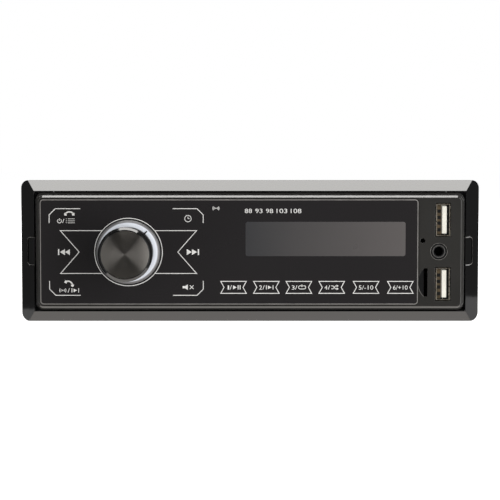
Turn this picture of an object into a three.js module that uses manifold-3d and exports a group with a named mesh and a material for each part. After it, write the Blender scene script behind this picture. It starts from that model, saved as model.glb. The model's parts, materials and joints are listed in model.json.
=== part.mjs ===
// A single-slot car radio with a touch panel, a push-and-turn knob and front sockets,
// as an assembly of separate pieces. Millimetres, +Z up, front face towards -Y.
// The origin is the centre of the dashboard opening, in the plane of the dashboard's face.
import * as THREE from "three";
import { mergeVertices } from "three/addons/utils/BufferGeometryUtils.js";
import Module from "manifold-3d";

const wasm = await Module();
wasm.setup();

// ---------------------------------------------------------------- driving dimensions

const GAP = 0.3; // between pieces that touch on the real radio
const SHEET = 0.8; // steel sheet of the chassis and the sleeve
const BOARD = 1.6; // printed circuit boards
const PAST = 1; // how far a cutting tool runs past the face that it cuts
const BITE = 0.1; // how far solids that are joined reach into each other

const chassis = { width: 178, height: 50, depth: 58, front: 2 };
chassis.rear = chassis.front + chassis.depth;
chassis.left = -chassis.width / 2;
chassis.right = chassis.width / 2;
chassis.bottom = -chassis.height / 2;
chassis.top = chassis.height / 2;

// The sleeve stays in the dashboard, and the radio slides in it.
const sleeve = {
  sideClearance: 1,
  topClearance: 0.5,
  lipX: 1.5,
  lipZ: 1,
  screwRoom: 5,
  corner: 1.5,
  tabLength: 9,
  tabWidth: 10,
  slit: 1,
  tabsInRow: 5,
  tabPitch: 34,
  tabFromFace: 12,
  keyWindow: { length: 12, height: 8, fromFace: 26 },
};
sleeve.innerWidth = chassis.width + 2 * sleeve.sideClearance;
sleeve.innerHeight = chassis.height + 2 * sleeve.topClearance;
sleeve.width = sleeve.innerWidth + 2 * SHEET;
sleeve.height = sleeve.innerHeight + 2 * SHEET;
sleeve.lipWidth = sleeve.width + 2 * sleeve.lipX;
sleeve.lipHeight = sleeve.height + 2 * sleeve.lipZ;

// The front housing: a flange inside the trim ring, and a smaller face that stands proud.
const housing = {
  insetX: 2,
  insetZ: 1.2,
  flangeFront: -8.5,
  step: 0.95,
  front: -13.7,
  bevel: 0.9,
  corner: 2.5,
  wall: 2,
  floorBack: -9.7,
  bossRadius: 2.2,
  bossInset: 3.15,
  pilotRadius: 1.5,
  windowRoom: 0.5,
};
housing.back = chassis.front - GAP;
housing.flangeWidth = chassis.width - 2 * housing.insetX;
housing.flangeHeight = chassis.height - 2 * housing.insetZ;
housing.faceWidth = housing.flangeWidth - 2 * housing.step;
housing.faceHeight = housing.flangeHeight - 2 * housing.step;
housing.innerWidth = housing.faceWidth - 2 * housing.wall;
housing.innerHeight = housing.faceHeight - 2 * housing.wall;
housing.bossX = housing.faceWidth / 2 - housing.bossInset;

// The trim ring: a bevelled frame around the housing. Its side bevels are the steeper ones.
const trim = {
  gapX: 0.6,
  gapZ: 0.45,
  wallX: 1.3,
  wallZ: 1.1,
  pocketGap: 0.4,
  depth: 9,
  topDrop: 4,
  sideDrop: 8.25,
  corner: 3,
  innerCorner: 1,
  grooveWidth: 1.4,
  grooveDepth: 3.6,
  innerWall: 1.6,
  notch: { height: 11, width: 3.4, corner: 1.2 },
};
trim.openingWidth = housing.flangeWidth + 2 * trim.gapX;
trim.openingHeight = housing.flangeHeight + 2 * trim.gapZ;
trim.pocketWidth = sleeve.lipWidth + 2 * trim.pocketGap;
trim.pocketHeight = sleeve.lipHeight + 2 * trim.pocketGap;
trim.pocketDepth = SHEET + trim.pocketGap;
trim.width = trim.pocketWidth + 2 * trim.wallX;
trim.height = trim.pocketHeight + 2 * trim.wallZ;

// The lens panel lies in a recess of the housing's face, left of the strip with the sockets.
const lens = { rimX: 1.5, rimZ: 1.75, portStrip: 18.35, front: -14, thickness: 1.8, corner: 1.2 };
lens.left = -housing.faceWidth / 2 + lens.rimX;
lens.right = housing.faceWidth / 2 - lens.portStrip;
lens.width = lens.right - lens.left;
lens.height = housing.faceHeight - 2 * lens.rimZ;
lens.x = (lens.left + lens.right) / 2;
lens.back = lens.front + lens.thickness;

const film = { thickness: 0.3 };
film.front = lens.back + GAP;
film.back = film.front + film.thickness;
housing.recessFloor = film.back + GAP;

// The knob and its light ring, measured from the lens's front face.
const knob = {
  fromLensLeft: 35.45,
  protrusion: 18,
  faceRadius: 9.6,
  frontRadius: 10.75,
  rearRadius: 9.7,
  chamfer: 1.05,
  shellWall: 0.7,
  shellFront: 1,
  discThickness: 0.7,
  discInset: 0.15,
  lift: 2.9,
  hubRadius: 5,
  rim: 0.1,
  coreWall: 1.5,
  coreFloor: 2,
  coreInset: 0.2,
  travel: 0.5,
};
knob.x = lens.left + knob.fromLensLeft;

const lightRing = {
  radius: 12.95,
  height: 1.9,
  bore: 8.6,
  shoulder: 0.3,
  crown: { inset: [0.25, 0.75, 1.5], height: [0.75, 1.15, 1.5] },
  innerEdge: { inset: 0.6, drop: 0.3 },
  housingHole: 8,
};
lightRing.hole = lightRing.radius + GAP;

const encoder = {
  side: 12.6,
  depth: 4.2,
  base: 0.6,
  bushingRadius: 4.2,
  bushingLength: 4,
  shaftRadius: 3,
  shaftInKnob: 11.5,
  shaftEndRoom: 1,
  pushRoom: 0.2,
  rotorRadius: 4.7,
  rotorThickness: 1.2,
  cavityRadius: 5.2,
  roof: 0.6,
  domeRadius: 2.2,
  domeHeight: 0.4,
};
encoder.bore = encoder.shaftRadius + GAP;

// Boards and display behind the front wall of the housing.
const frontBoard = { front: -5, edge: 0.35, bossGap: 0.5 };
frontBoard.back = frontBoard.front + BOARD;
frontBoard.width = 2 * (housing.bossX - housing.bossRadius - frontBoard.bossGap);
frontBoard.height = housing.innerHeight - 2 * frontBoard.edge;
encoder.back = frontBoard.front - GAP;
encoder.front = encoder.back - encoder.depth;

const display = {
  windowWidth: 64.5,
  windowHeight: 13.85,
  fromLensRight: 5,
  fromLensTop: 8.9,
  glassBorder: 2.6,
  glassThickness: 1.8,
  lightThickness: 1.8,
  holderWall: 1.2,
};
display.x = lens.right - display.fromLensRight - display.windowWidth / 2;
display.z = lens.height / 2 - display.fromLensTop - display.windowHeight / 2;
display.glassWidth = display.windowWidth + 2 * display.glassBorder;
display.glassHeight = display.windowHeight + 2 * display.glassBorder;
display.front = housing.floorBack + GAP;

// Front sockets, placed from the housing's right edge and its top and bottom.
const rightEdge = housing.faceWidth / 2;
const usb = {
  x: rightEdge - 8.2,
  z: housing.faceHeight / 2 - 9.9,
  width: 5.7,
  height: 13.1,
  wall: 0.35,
  depth: 13,
  recess: 0.3,
  tongueWidth: 1.84,
  tongueHeight: 11.1,
  tongueOffset: 0.62,
  tongueRecess: 0.6,
  base: 2.5,
};
usb.front = housing.front + usb.recess;
usb.back = usb.front + usb.depth;

const aux = {
  x: rightEdge - 9.85,
  z: 0.2,
  collarRadius: 2.95,
  bore: 1.8,
  countersink: 0.6,
  bodySide: 8.4,
  back: -0.6,
};

const mic = { x: lens.right + 2, z: 4.6, hole: 1, radius: 2 };
const infrared = {
  x: lens.right - 81.2,
  z: 12.6,
  width: 5.6,
  height: 6.6,
  depth: 3.1,
  domeRadius: 2,
  domeHeight: 1.6,
};

const card = {
  x: lens.right + 3.3,
  z: -housing.faceHeight / 2 + 10.5,
  slotWidth: 1.4,
  slotHeight: 11.5,
  scoopReach: 2.5,
  scoopDepth: 1.3,
  shellThickness: 2.3,
  shellHeight: 14.4,
  cavityThickness: 1.5,
  cavityHeight: 11.8,
  back: 5,
  backWall: 0.8,
  carriageDepth: 1.6,
  carriageBackGap: 1.6,
  travel: 1.2,
  boardThickness: 1,
  boardOverhang: 0.8,
};
card.front = housing.floorBack + GAP;

// The chassis: a tray with the rear wall, a cover with the sides, and a front bracket.
const tray = {
  sideHeight: 10,
  standOff: 4.5,
  standOffRadius: 2.6,
  standOffInset: 5,
  screwY: 5,
  screwZ: 5,
};
sleeve.depth = chassis.rear - tray.screwY - sleeve.screwRoom; // ends before the side screws
const bracket = { screwMargin: 2.9, roomAround: 0.15, screwHole: 1.5 };
bracket.openingWidth = 2 * (housing.bossX - bracket.screwMargin);
bracket.openingHeight = housing.innerHeight + 2 * bracket.roomAround;
const vents = { count: 13, pitch: 8, width: 2.6, length: 22, fromRear: 12 };
const coverTab = { width: 10, drop: 9, xs: [30, 80], screwDrop: 5.5 };

const mainBoard = { sideInset: 5, front: 6, rearInset: 1.5 };
mainBoard.bottom = chassis.bottom + SHEET + tray.standOff + GAP;
mainBoard.top = mainBoard.bottom + BOARD;
mainBoard.width = chassis.width - 2 * mainBoard.sideInset;
mainBoard.back = chassis.rear - mainBoard.rearInset;
const onBoard = mainBoard.top + GAP; // where what stands on the main board begins

const sink = {
  left: chassis.left + 3,
  width: 64,
  height: 44,
  base: 3,
  finDepth: 10,
  finThickness: 1.4,
  fins: 11,
  ear: 6,
  blindHole: 2.6,
};
sink.front = chassis.rear + GAP;
sink.x = sink.left + sink.width / 2;

const amplifier = {
  width: 29,
  height: 15.7,
  thickness: 4.3,
  backInset: 0.1,
  roomAround: 1,
  barWidth: 40,
  barHeight: 6,
  bar: 1.2,
  screwInset: 3,
};
const socket = {
  x: 0.5,
  width: 31,
  height: 28,
  inside: 8,
  outside: 8,
  cavityWidth: 27,
  cavityHeight: 11,
  pinPitchX: 5,
  pinPitchZ: 5,
  pinWidth: 2.4,
  pinThickness: 0.9,
  pinLength: 8.5,
  plate: 1.2,
  pocketWall: 1,
  divider: 1.8,
  keyway: { width: 5, height: 3, behindRear: 3 },
};
const antenna = {
  x: 34,
  z: -8,
  radius: 6.4,
  bore: 4.8,
  wall: 0.7,
  reach: 10,
  flange: 16,
  plate: 1,
  inside: 6,
  contact: { fromEnd: 0.5, length: 3, bore: 1.6 },
};
const rca = {
  x: 61,
  z: -8.5,
  width: 30,
  height: 14,
  pitch: 14,
  plate: 1.8,
  radius: 4.2,
  bore: 1.8,
  reach: 9,
};
const fuse = {
  x: 61,
  z: 9,
  width: 19,
  height: 5,
  reach: 10,
  waist: { shorter: 8, height: 1.4, length: 4.5 },
  holderWall: 1.8,
  holderDepth: 6,
  holderFloor: 2,
};
const stud = {
  x: 0,
  z: 17,
  radius: 2.4,
  reach: 14,
  inside: 3,
  nutRadius: 4.4,
  nutEnd: 2.5,
  bushRadius: 5.4,
  bushLength: 10,
  bushCollar: 2,
  bushStep: 1.2,
  bushStepLength: 1,
  bushEndInset: 0.6,
};

// ---------------------------------------------------------------- solids

const CURVE_STEPS = 4; // per quarter turn of an outline's corner

// A closed three.js geometry as a manifold solid, with its faces turned outwards.
function solidOf(geometry) {
  const bare = geometry.index ? geometry.toNonIndexed() : geometry.clone();
  bare.deleteAttribute("normal");
  bare.deleteAttribute("uv");
  const merged = mergeVertices(bare, 1e-4);
  const corners = merged.index.array;
  const triangles = [];
  for (let i = 0; i < corners.length; i += 3) {
    const [a, b, c] = [corners[i], corners[i + 1], corners[i + 2]];
    if (a !== b && b !== c && c !== a) triangles.push([a, b, c]);
  }
  const make = (order) =>
    new wasm.Manifold(
      new wasm.Mesh({
        numProp: 3,
        vertProperties: merged.attributes.position.array,
        triVerts: new Uint32Array(triangles.flatMap(order)),
      }),
    );
  const solid = make(([a, b, c]) => [a, b, c]);
  return solid.volume() > 0 ? solid : make(([a, b, c]) => [a, c, b]);
}

const join = (first, ...others) => others.reduce((all, next) => all.add(next), first);
const cut = (base, ...tools) => tools.reduce((left, tool) => left.subtract(tool), base);

// A box between two values on each axis.
function block([x0, x1], [y0, y1], [z0, z1]) {
  const geometry = new THREE.BoxGeometry(x1 - x0, y1 - y0, z1 - z0);
  return solidOf(geometry.translate((x0 + x1) / 2, (y0 + y1) / 2, (z0 + z1) / 2));
}

// A box of a size, centred in X and Z, between two depths.
function plate(x, z, width, height, y0, y1) {
  return block([x - width / 2, x + width / 2], [y0, y1], [z - height / 2, z + height / 2]);
}

// A round bar along Y.
function rod(radius, y0, y1, x = 0, z = 0, steps = 24) {
  const geometry = new THREE.CylinderGeometry(radius, radius, Math.abs(y1 - y0), steps);
  return solidOf(geometry.translate(x, (y0 + y1) / 2, z));
}

// A round bar along Z.
function post(radius, z0, z1, x, y, steps = 20) {
  const geometry = new THREE.CylinderGeometry(radius, radius, z1 - z0, steps);
  return solidOf(geometry.rotateX(Math.PI / 2).translate(x, y, (z0 + z1) / 2));
}

// A profile of [radius, y] pairs turned about the Y axis.
function turned(profile, steps = 48) {
  const points = [...profile, profile[0]].map(([r, y]) => new THREE.Vector2(r, y));
  return solidOf(new THREE.LatheGeometry(points, steps));
}

function roundedRect(width, height, radius, x = 0, z = 0) {
  const [w, h, r] = [width / 2, height / 2, radius];
  const shape = new THREE.Shape();
  shape.absarc(x + w - r, z + h - r, r, 0, Math.PI / 2);
  shape.absarc(x - w + r, z + h - r, r, Math.PI / 2, Math.PI);
  shape.absarc(x - w + r, z - h + r, r, Math.PI, 1.5 * Math.PI);
  shape.absarc(x + w - r, z - h + r, r, 1.5 * Math.PI, 2 * Math.PI);
  shape.closePath();
  return shape;
}

const FRONT_VIEW = new THREE.Matrix4().makeBasis(
  new THREE.Vector3(1, 0, 0),
  new THREE.Vector3(0, 0, 1),
  new THREE.Vector3(0, -1, 0),
);
const SIDE_VIEW = new THREE.Matrix4().makeBasis(
  new THREE.Vector3(0, 1, 0),
  new THREE.Vector3(0, 0, 1),
  new THREE.Vector3(1, 0, 0),
);

// An outline seen from the front, extruded from y0 forwards to y1.
// A bevel is a 45 degree chamfer of that many millimetres round both ends.
function slab(shape, y0, y1, bevel = 0) {
  const geometry = new THREE.ExtrudeGeometry(shape, {
    depth: y0 - y1 - 2 * bevel,
    curveSegments: CURVE_STEPS,
    bevelEnabled: bevel > 0,
    bevelThickness: bevel,
    bevelSize: bevel,
    bevelOffset: -bevel,
    bevelSegments: 1,
  });
  return solidOf(geometry.applyMatrix4(FRONT_VIEW).translate(0, y0 - bevel, 0));
}

// A polygon of [y, z] points, extruded along X.
function prismX(points, x0, x1) {
  const shape = new THREE.Shape(points.map(([y, z]) => new THREE.Vector2(y, z)));
  const geometry = new THREE.ExtrudeGeometry(shape, { depth: x1 - x0, bevelEnabled: false });
  return solidOf(geometry.applyMatrix4(SIDE_VIEW).translate(x0, 0, 0));
}

// A polygon of [x, y] points, extruded along Z.
function prismZ(points, z0, z1) {
  const shape = new THREE.Shape(points.map(([x, y]) => new THREE.Vector2(x, y)));
  const geometry = new THREE.ExtrudeGeometry(shape, { depth: z1 - z0, bevelEnabled: false });
  return solidOf(geometry.translate(0, 0, z0));
}

// ---------------------------------------------------------------- materials

const paint = (color, roughness, metalness = 0) =>
  new THREE.MeshStandardMaterial({ color, roughness, metalness });

const materials = {
  pianoBlack: paint(0x161616, 0.12),
  lensBlack: paint(0x1e1d1e, 0.08),
  smoke: paint(0x59585a, 0.25),
  milky: paint(0xd6dae0, 0.45),
  darkChrome: paint(0x3a3836, 0.18, 1),
  spunMetal: paint(0x6b6864, 0.32, 1),
  blackPlastic: paint(0x202022, 0.5),
  whitePlastic: paint(0xefece2, 0.5),
  steel: paint(0xb9bbb8, 0.42, 1),
  nickel: paint(0xb4aa98, 0.3, 1),
  aluminium: paint(0xa9acae, 0.4, 1),
  greenBoard: paint(0x1f5a36, 0.5),
  brass: paint(0xb9974f, 0.35, 1),
  rubber: paint(0x1b1b1b, 0.85),
  copper: paint(0xa85f32, 0.4, 1),
  canBlue: paint(0x24304f, 0.4),
  fuseBlue: paint(0x2b6fc2, 0.35),
};

const radio = new THREE.Group();
radio.name = "car_radio";
const dashFixed = new THREE.Group(); // stays in the dashboard
const unit = new THREE.Group(); // the radio that slides out
const knobAxis = new THREE.Group(); // local origin on the knob's axis
knobAxis.position.set(knob.x, 0, 0);
unit.add(knobAxis);
radio.add(dashFixed, unit);

function part(group, name, solid, material, position = [0, 0, 0], rotation = [0, 0, 0]) {
  const { vertProperties, triVerts } = solid.getMesh();
  const indexed = new THREE.BufferGeometry();
  indexed.setAttribute("position", new THREE.BufferAttribute(vertProperties, 3));
  indexed.setIndex(new THREE.BufferAttribute(triVerts, 1));
  const geometry = indexed.toNonIndexed();
  geometry.computeVertexNormals();
  const mesh = new THREE.Mesh(geometry, material);
  mesh.name = name;
  mesh.position.set(...position);
  mesh.rotation.set(...rotation);
  group.add(mesh);
}

// ---------------------------------------------------------------- mounting sleeve

// Three slits that leave a tongue in a wall, for a tab that bends out behind the dashboard.
function tabSlits([x0, x1], [z0, z1], widthAxis) {
  const { slit, tabLength, tabFromFace } = sleeve;
  const y = [tabFromFace, tabFromFace + tabLength];
  const end = block([x0, x1], [y[0], y[0] + slit], [z0, z1]);
  if (widthAxis === "x") {
    return join(end, block([x0, x0 + slit], y, [z0, z1]), block([x1 - slit, x1], y, [z0, z1]));
  }
  return join(end, block([x0, x1], y, [z0, z0 + slit]), block([x0, x1], y, [z1 - slit, z1]));
}

function mountingSleeve() {
  const { width, height, innerWidth, innerHeight, lipWidth, lipHeight, corner, depth } = sleeve;
  const wall = slab(roundedRect(width, height, corner), depth, -SHEET);
  const lip = slab(roundedRect(lipWidth, lipHeight, corner), 0, -SHEET);
  const inside = slab(roundedRect(innerWidth, innerHeight, corner - SHEET), depth + PAST, -SHEET - PAST);
  const { tabsInRow, tabPitch, tabWidth, keyWindow } = sleeve;
  const cuts = [];
  for (const side of [-1, 1]) {
    const wallZ = (side * (innerHeight + height)) / 4;
    for (let i = 0; i < tabsInRow; i++) {
      const x = (i - (tabsInRow - 1) / 2) * tabPitch;
      cuts.push(
        tabSlits([x - tabWidth / 2, x + tabWidth / 2], [wallZ - SHEET, wallZ + SHEET], "x"),
      );
    }
    const wallX = (side * (innerWidth + width)) / 4;
    const throughWall = [wallX - SHEET, wallX + SHEET];
    for (const z of [-1, 1].map((end) => end * (innerHeight / 2 - tabWidth))) {
      cuts.push(tabSlits(throughWall, [z - tabWidth / 2, z + tabWidth / 2], "z"));
    }
    const windowEnd = keyWindow.fromFace + keyWindow.length;
    const halfWindow = keyWindow.height / 2;
    cuts.push(block(throughWall, [keyWindow.fromFace, windowEnd], [-halfWindow, halfWindow]));
  }
  return cut(join(wall, lip), inside, ...cuts);
}

part(dashFixed, "mounting_sleeve", mountingSleeve(), materials.steel);

// ---------------------------------------------------------------- trim ring

// What lies in front of a bevel that drops away from the opening's edge to the outer edge.
function bevelWaste(inner, outer, drop) {
  const slope = drop / (outer - inner);
  return [
    [-trim.depth - PAST, inner],
    [-trim.depth, inner],
    [-trim.depth + drop + PAST * slope, outer + PAST],
    [-trim.depth - PAST, outer + PAST],
  ];
}

function trimRing() {
  const { width, height, openingWidth, openingHeight, notch } = trim;
  const reach = width / 2 + PAST;
  const above = bevelWaste(openingHeight / 2, height / 2, trim.topDrop);
  const beside = bevelWaste(openingWidth / 2, width / 2, trim.sideDrop);
  const wastes = [1, -1].flatMap((side) => [
    prismX(above.map(([y, z]) => [y, side * z]), -reach, reach),
    prismZ(beside.map(([y, x]) => [side * x, y]), -reach, reach),
  ]);
  const opening = roundedRect(openingWidth, openingHeight, trim.innerCorner);
  const pocket = roundedRect(trim.pocketWidth, trim.pocketHeight, trim.innerCorner);
  const grooveInner = [openingWidth + 2 * trim.innerWall, openingHeight + 2 * trim.innerWall];
  const [grooveX, grooveZ] = grooveInner.map((size) => size + 2 * trim.grooveWidth);
  const groove = cut(
    slab(roundedRect(grooveX, grooveZ, trim.innerCorner), PAST, -trim.grooveDepth),
    slab(roundedRect(...grooveInner, trim.innerCorner), 2 * PAST, -trim.depth),
  );
  const notches = [1, -1].map((side) => {
    const x = side * (openingWidth / 2 + notch.width / 2 - notch.corner);
    const shape = roundedRect(notch.width + 2 * notch.corner, notch.height, notch.corner, x);
    return slab(shape, PAST, -trim.depth - PAST);
  });
  return cut(
    slab(roundedRect(width, height, trim.corner), 0, -trim.depth),
    ...wastes,
    slab(opening, PAST, -trim.depth - PAST),
    slab(pocket, PAST, -trim.pocketDepth),
    groove,
    ...notches,
  );
}

part(unit, "trim_ring", trimRing(), materials.pianoBlack);

// ---------------------------------------------------------------- front housing

// The finger scoop beside the card slot: a segment of a disc that ends at the slot.
function cardScoop() {
  const half = card.slotHeight / 2;
  const radius = (half * half + card.scoopReach ** 2) / (2 * card.scoopReach);
  const edge = card.x - card.slotWidth / 2;
  const disc = rod(
    radius,
    housing.front - PAST,
    housing.front + card.scoopDepth,
    edge - card.scoopReach + radius,
    card.z,
    64,
  );
  const depth = [housing.front - PAST, housing.front + card.scoopDepth];
  const leftPart = block([edge - radius, edge + BITE], depth, [card.z - half, card.z + half]);
  return disc.intersect(leftPart);
}

function frontHousing() {
  const { faceWidth, faceHeight, flangeWidth, flangeHeight, corner, front, floorBack } = housing;
  const flange = roundedRect(flangeWidth, flangeHeight, corner + 0.5);
  const face = roundedRect(faceWidth, faceHeight, corner);
  const seatSize = [lens.width, lens.height].map((size) => size + 2 * GAP);
  const lensSeat = roundedRect(...seatSize, lens.corner + GAP, lens.x);
  const room = 2 * housing.windowRoom;
  const through = [front - PAST, floorBack + PAST];
  const shell = cut(
    join(
      slab(flange, housing.back, housing.flangeFront),
      slab(face, housing.back, front, housing.bevel),
    ),
    slab(roundedRect(housing.innerWidth, housing.innerHeight, 1), housing.back + PAST, floorBack),
  );
  const bosses = [-1, 1].map((side) =>
    rod(housing.bossRadius, floorBack - BITE, housing.back, side * housing.bossX, 0, 20),
  );
  const pilots = [-1, 1].map((side) =>
    rod(housing.pilotRadius, floorBack, housing.back + PAST, side * housing.bossX, 0, 16),
  );
  const usbHoles = [-1, 1].map((side) =>
    plate(usb.x, side * usb.z, usb.width + 2 * GAP, usb.height + 2 * GAP, ...through),
  );
  return cut(
    join(shell, ...bosses),
    ...pilots,
    slab(lensSeat, housing.recessFloor, front - PAST),
    plate(display.x, display.z, display.windowWidth + room, display.windowHeight + room, ...through),
    plate(infrared.x, infrared.z, infrared.width + room, infrared.height + room, ...through),
    rod(lightRing.housingHole, ...through, knob.x, 0, 32),
    ...usbHoles,
    rod(aux.collarRadius + GAP, ...through, aux.x, aux.z),
    rod(mic.hole, ...through, mic.x, mic.z, 16),
    plate(card.x, card.z, card.slotWidth, card.slotHeight, ...through),
    cardScoop(),
  );
}

part(unit, "front_housing", frontHousing(), materials.blackPlastic);

// ---------------------------------------------------------------- lens panel and touch film

function sheetBehindLens(inset, y0, y1, openings) {
  const shape = roundedRect(lens.width - 2 * inset, lens.height - 2 * inset, lens.corner, lens.x);
  return cut(slab(shape, y0, y1), rod(lightRing.hole, y0 + PAST, y1 - PAST, knob.x, 0, 48), ...openings);
}

const windowCut = plate(
  display.x,
  display.z,
  display.windowWidth + 2 * housing.windowRoom,
  display.windowHeight + 2 * housing.windowRoom,
  film.front - PAST,
  film.back + PAST,
);

part(unit, "lens_panel", sheetBehindLens(0, lens.back, lens.front, []), materials.lensBlack);
part(
  unit,
  "touch_film",
  sheetBehindLens(0.5, film.back, film.front, [windowCut]),
  materials.smoke,
);

// ---------------------------------------------------------------- knob, light ring and encoder

function lightRingBody() {
  const { radius, height, bore, shoulder, crown, innerEdge } = lightRing;
  const y = (above) => lens.front - above;
  const seat = housing.recessFloor - GAP;
  return turned([
    [bore, seat],
    [radius, seat],
    [radius, y(shoulder)],
    ...crown.inset.map((inset, i) => [radius - inset, y(crown.height[i])]),
    [bore + innerEdge.inset, y(height)],
    [bore, y(height - innerEdge.drop)],
  ]);
}

const knobRear = lens.front - knob.lift;
const knobFace = lens.front - knob.protrusion;
const shellRecess = knobFace + knob.discThickness + GAP;

function knobShell() {
  const { faceRadius, frontRadius, rearRadius, chamfer, shellWall, shellFront } = knob;
  return turned([
    [rearRadius - shellWall, knobRear],
    [rearRadius, knobRear],
    [frontRadius, knobFace + chamfer],
    [faceRadius + knob.rim, knobFace],
    [faceRadius, knobFace],
    [faceRadius, shellRecess],
    [0, shellRecess],
    [0, shellRecess + shellFront],
    [frontRadius - shellWall - GAP, shellRecess + shellFront],
  ]);
}

function knobDisc() {
  const edge = knob.faceRadius - knob.discInset;
  return turned([
    [0, knobFace],
    [edge, knobFace],
    [edge, knobFace + knob.discThickness],
    [0, knobFace + knob.discThickness],
  ]);
}

const coreFront = shellRecess + knob.shellFront + GAP;
const coreRadius = knob.rearRadius - knob.shellWall - GAP;
const shaftFront = knobRear - encoder.shaftInKnob;

function knobCore() {
  const boreEnd = shaftFront - encoder.shaftEndRoom;
  const rear = knobRear - knob.coreInset;
  return turned([
    [0, coreFront],
    [coreRadius, coreFront],
    [coreRadius, rear],
    [coreRadius - knob.coreWall, rear],
    [coreRadius - knob.coreWall, coreFront + knob.coreFloor],
    [knob.hubRadius, coreFront + knob.coreFloor],
    [knob.hubRadius, rear],
    [encoder.bore, rear],
    [encoder.bore, boreEnd],
    [0, boreEnd],
  ]);
}

const domeTop = encoder.back - encoder.base - GAP - encoder.domeHeight;
const shaftBack = domeTop - knob.travel - encoder.pushRoom;

function encoderBody() {
  const { side, back, front, bushingRadius, bushingLength, cavityRadius, base, roof, bore } = encoder;
  return cut(
    join(
      plate(0, 0, side, side, front, back),
      rod(bushingRadius, front - bushingLength, front + BITE),
    ),
    rod(cavityRadius, front + roof, back - base),
    rod(bore, front - bushingLength - PAST, back - base - PAST),
  );
}

function encoderRotor() {
  const { rotorRadius, rotorThickness, bore, front, roof } = encoder;
  const y0 = front + roof + GAP;
  return cut(
    rod(rotorRadius, y0, y0 + rotorThickness),
    rod(bore, y0 - PAST, y0 + rotorThickness + PAST),
  );
}

function pushDome() {
  const { domeRadius, domeHeight, base, back } = encoder;
  const foot = back - base - GAP;
  return turned(
    [
      [0, foot],
      [domeRadius, foot],
      [domeRadius * 0.7, foot - domeHeight * 0.7],
      [domeRadius * 0.3, foot - domeHeight],
      [0, foot - domeHeight],
    ],
    20,
  );
}

part(knobAxis, "light_ring", lightRingBody(), materials.milky);
part(knobAxis, "knob_shell", knobShell(), materials.darkChrome);
part(knobAxis, "knob_disc", knobDisc(), materials.spunMetal);
part(knobAxis, "knob_core", knobCore(), materials.blackPlastic);
part(
  knobAxis,
  "encoder_shaft",
  rod(encoder.shaftRadius, shaftFront, shaftBack),
  materials.aluminium,
);
part(knobAxis, "encoder_body", encoderBody(), materials.blackPlastic);
part(knobAxis, "encoder_rotor", encoderRotor(), materials.whitePlastic);
part(knobAxis, "encoder_push_dome", pushDome(), materials.steel);

// ---------------------------------------------------------------- display

function displayHolder() {
  const { x, z, glassWidth, glassHeight, holderWall, front } = display;
  const inner = [glassWidth + 2 * GAP, glassHeight + 2 * GAP];
  const outer = inner.map((size) => size + 2 * holderWall);
  const back = frontBoard.front - GAP;
  return cut(plate(x, z, ...outer, front, back), plate(x, z, ...inner, front - PAST, back + PAST));
}

const lightFront = display.front + display.glassThickness + GAP;
const { glassWidth, glassHeight } = display;
part(unit, "display_holder", displayHolder(), materials.whitePlastic);
part(
  unit,
  "display_glass",
  plate(
    display.x,
    display.z,
    glassWidth,
    glassHeight,
    display.front,
    display.front + display.glassThickness,
  ),
  materials.smoke,
);
part(
  unit,
  "display_backlight",
  plate(
    display.x,
    display.z,
    glassWidth - 1,
    glassHeight - 1,
    lightFront,
    lightFront + display.lightThickness,
  ),
  materials.milky,
);

// ---------------------------------------------------------------- front sockets

function usbShell() {
  const { width, height, wall, front, back } = usb;
  return cut(
    plate(0, 0, width, height, front, back),
    plate(0, 0, width - 2 * wall, height - 2 * wall, front - PAST, back - wall),
  );
}

function usbTongue() {
  const { width, height, wall, base, back, front } = usb;
  const baseBack = back - wall - GAP;
  const inner = [width, height].map((size) => size - 2 * wall - 2 * GAP);
  return join(
    plate(0, 0, ...inner, baseBack - base, baseBack),
    plate(
      usb.tongueOffset,
      0,
      usb.tongueWidth,
      usb.tongueHeight,
      front + usb.tongueRecess,
      baseBack - base + BITE,
    ),
  );
}

for (const [place, side] of [
  ["upper", 1],
  ["lower", -1],
]) {
  const at = [usb.x, 0, side * usb.z];
  part(unit, `usb_shell_${place}`, usbShell(), materials.nickel, at);
  part(unit, `usb_tongue_${place}`, usbTongue(), materials.whitePlastic, at);
}

function auxJack() {
  const { collarRadius, bore, countersink, bodySide, back } = aux;
  const front = housing.front + usb.recess;
  const bodyFront = housing.floorBack + GAP;
  const mouth = turned(
    [
      [0, front - BITE],
      [bore + countersink, front - BITE],
      [bore, front + countersink],
      [0, front + countersink],
    ],
    24,
  );
  return cut(
    join(
      rod(collarRadius, front, bodyFront + BITE),
      plate(0, 0, bodySide, bodySide, bodyFront, back),
    ),
    rod(bore, front - PAST, back - PAST),
    mouth,
  );
}

part(unit, "aux_jack", auxJack(), materials.blackPlastic, [aux.x, 0, aux.z]);

const behindFloor = housing.floorBack + GAP;
const boardFace = frontBoard.front - GAP;
const infraredFront = boardFace - infrared.depth;
part(unit, "microphone", rod(mic.radius, behindFloor, boardFace), materials.rubber, [
  mic.x,
  0,
  mic.z,
]);
part(
  unit,
  "infrared_receiver",
  join(
    plate(0, 0, infrared.width, infrared.height, infraredFront, boardFace),
    rod(infrared.domeRadius, infraredFront - infrared.domeHeight, infraredFront + BITE, 0, 0, 20),
  ),
  materials.blackPlastic,
  [infrared.x, 0, infrared.z],
);

// ---------------------------------------------------------------- memory card socket

const cardCavityBack = card.back - card.backWall;
const carriageBack = cardCavityBack - card.carriageBackGap;

function cardSocket() {
  const { shellThickness, shellHeight, cavityThickness, cavityHeight, front, back } = card;
  return cut(
    plate(0, 0, shellThickness, shellHeight, front, back),
    plate(0, 0, cavityThickness, cavityHeight, front - PAST, cardCavityBack),
  );
}

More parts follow.
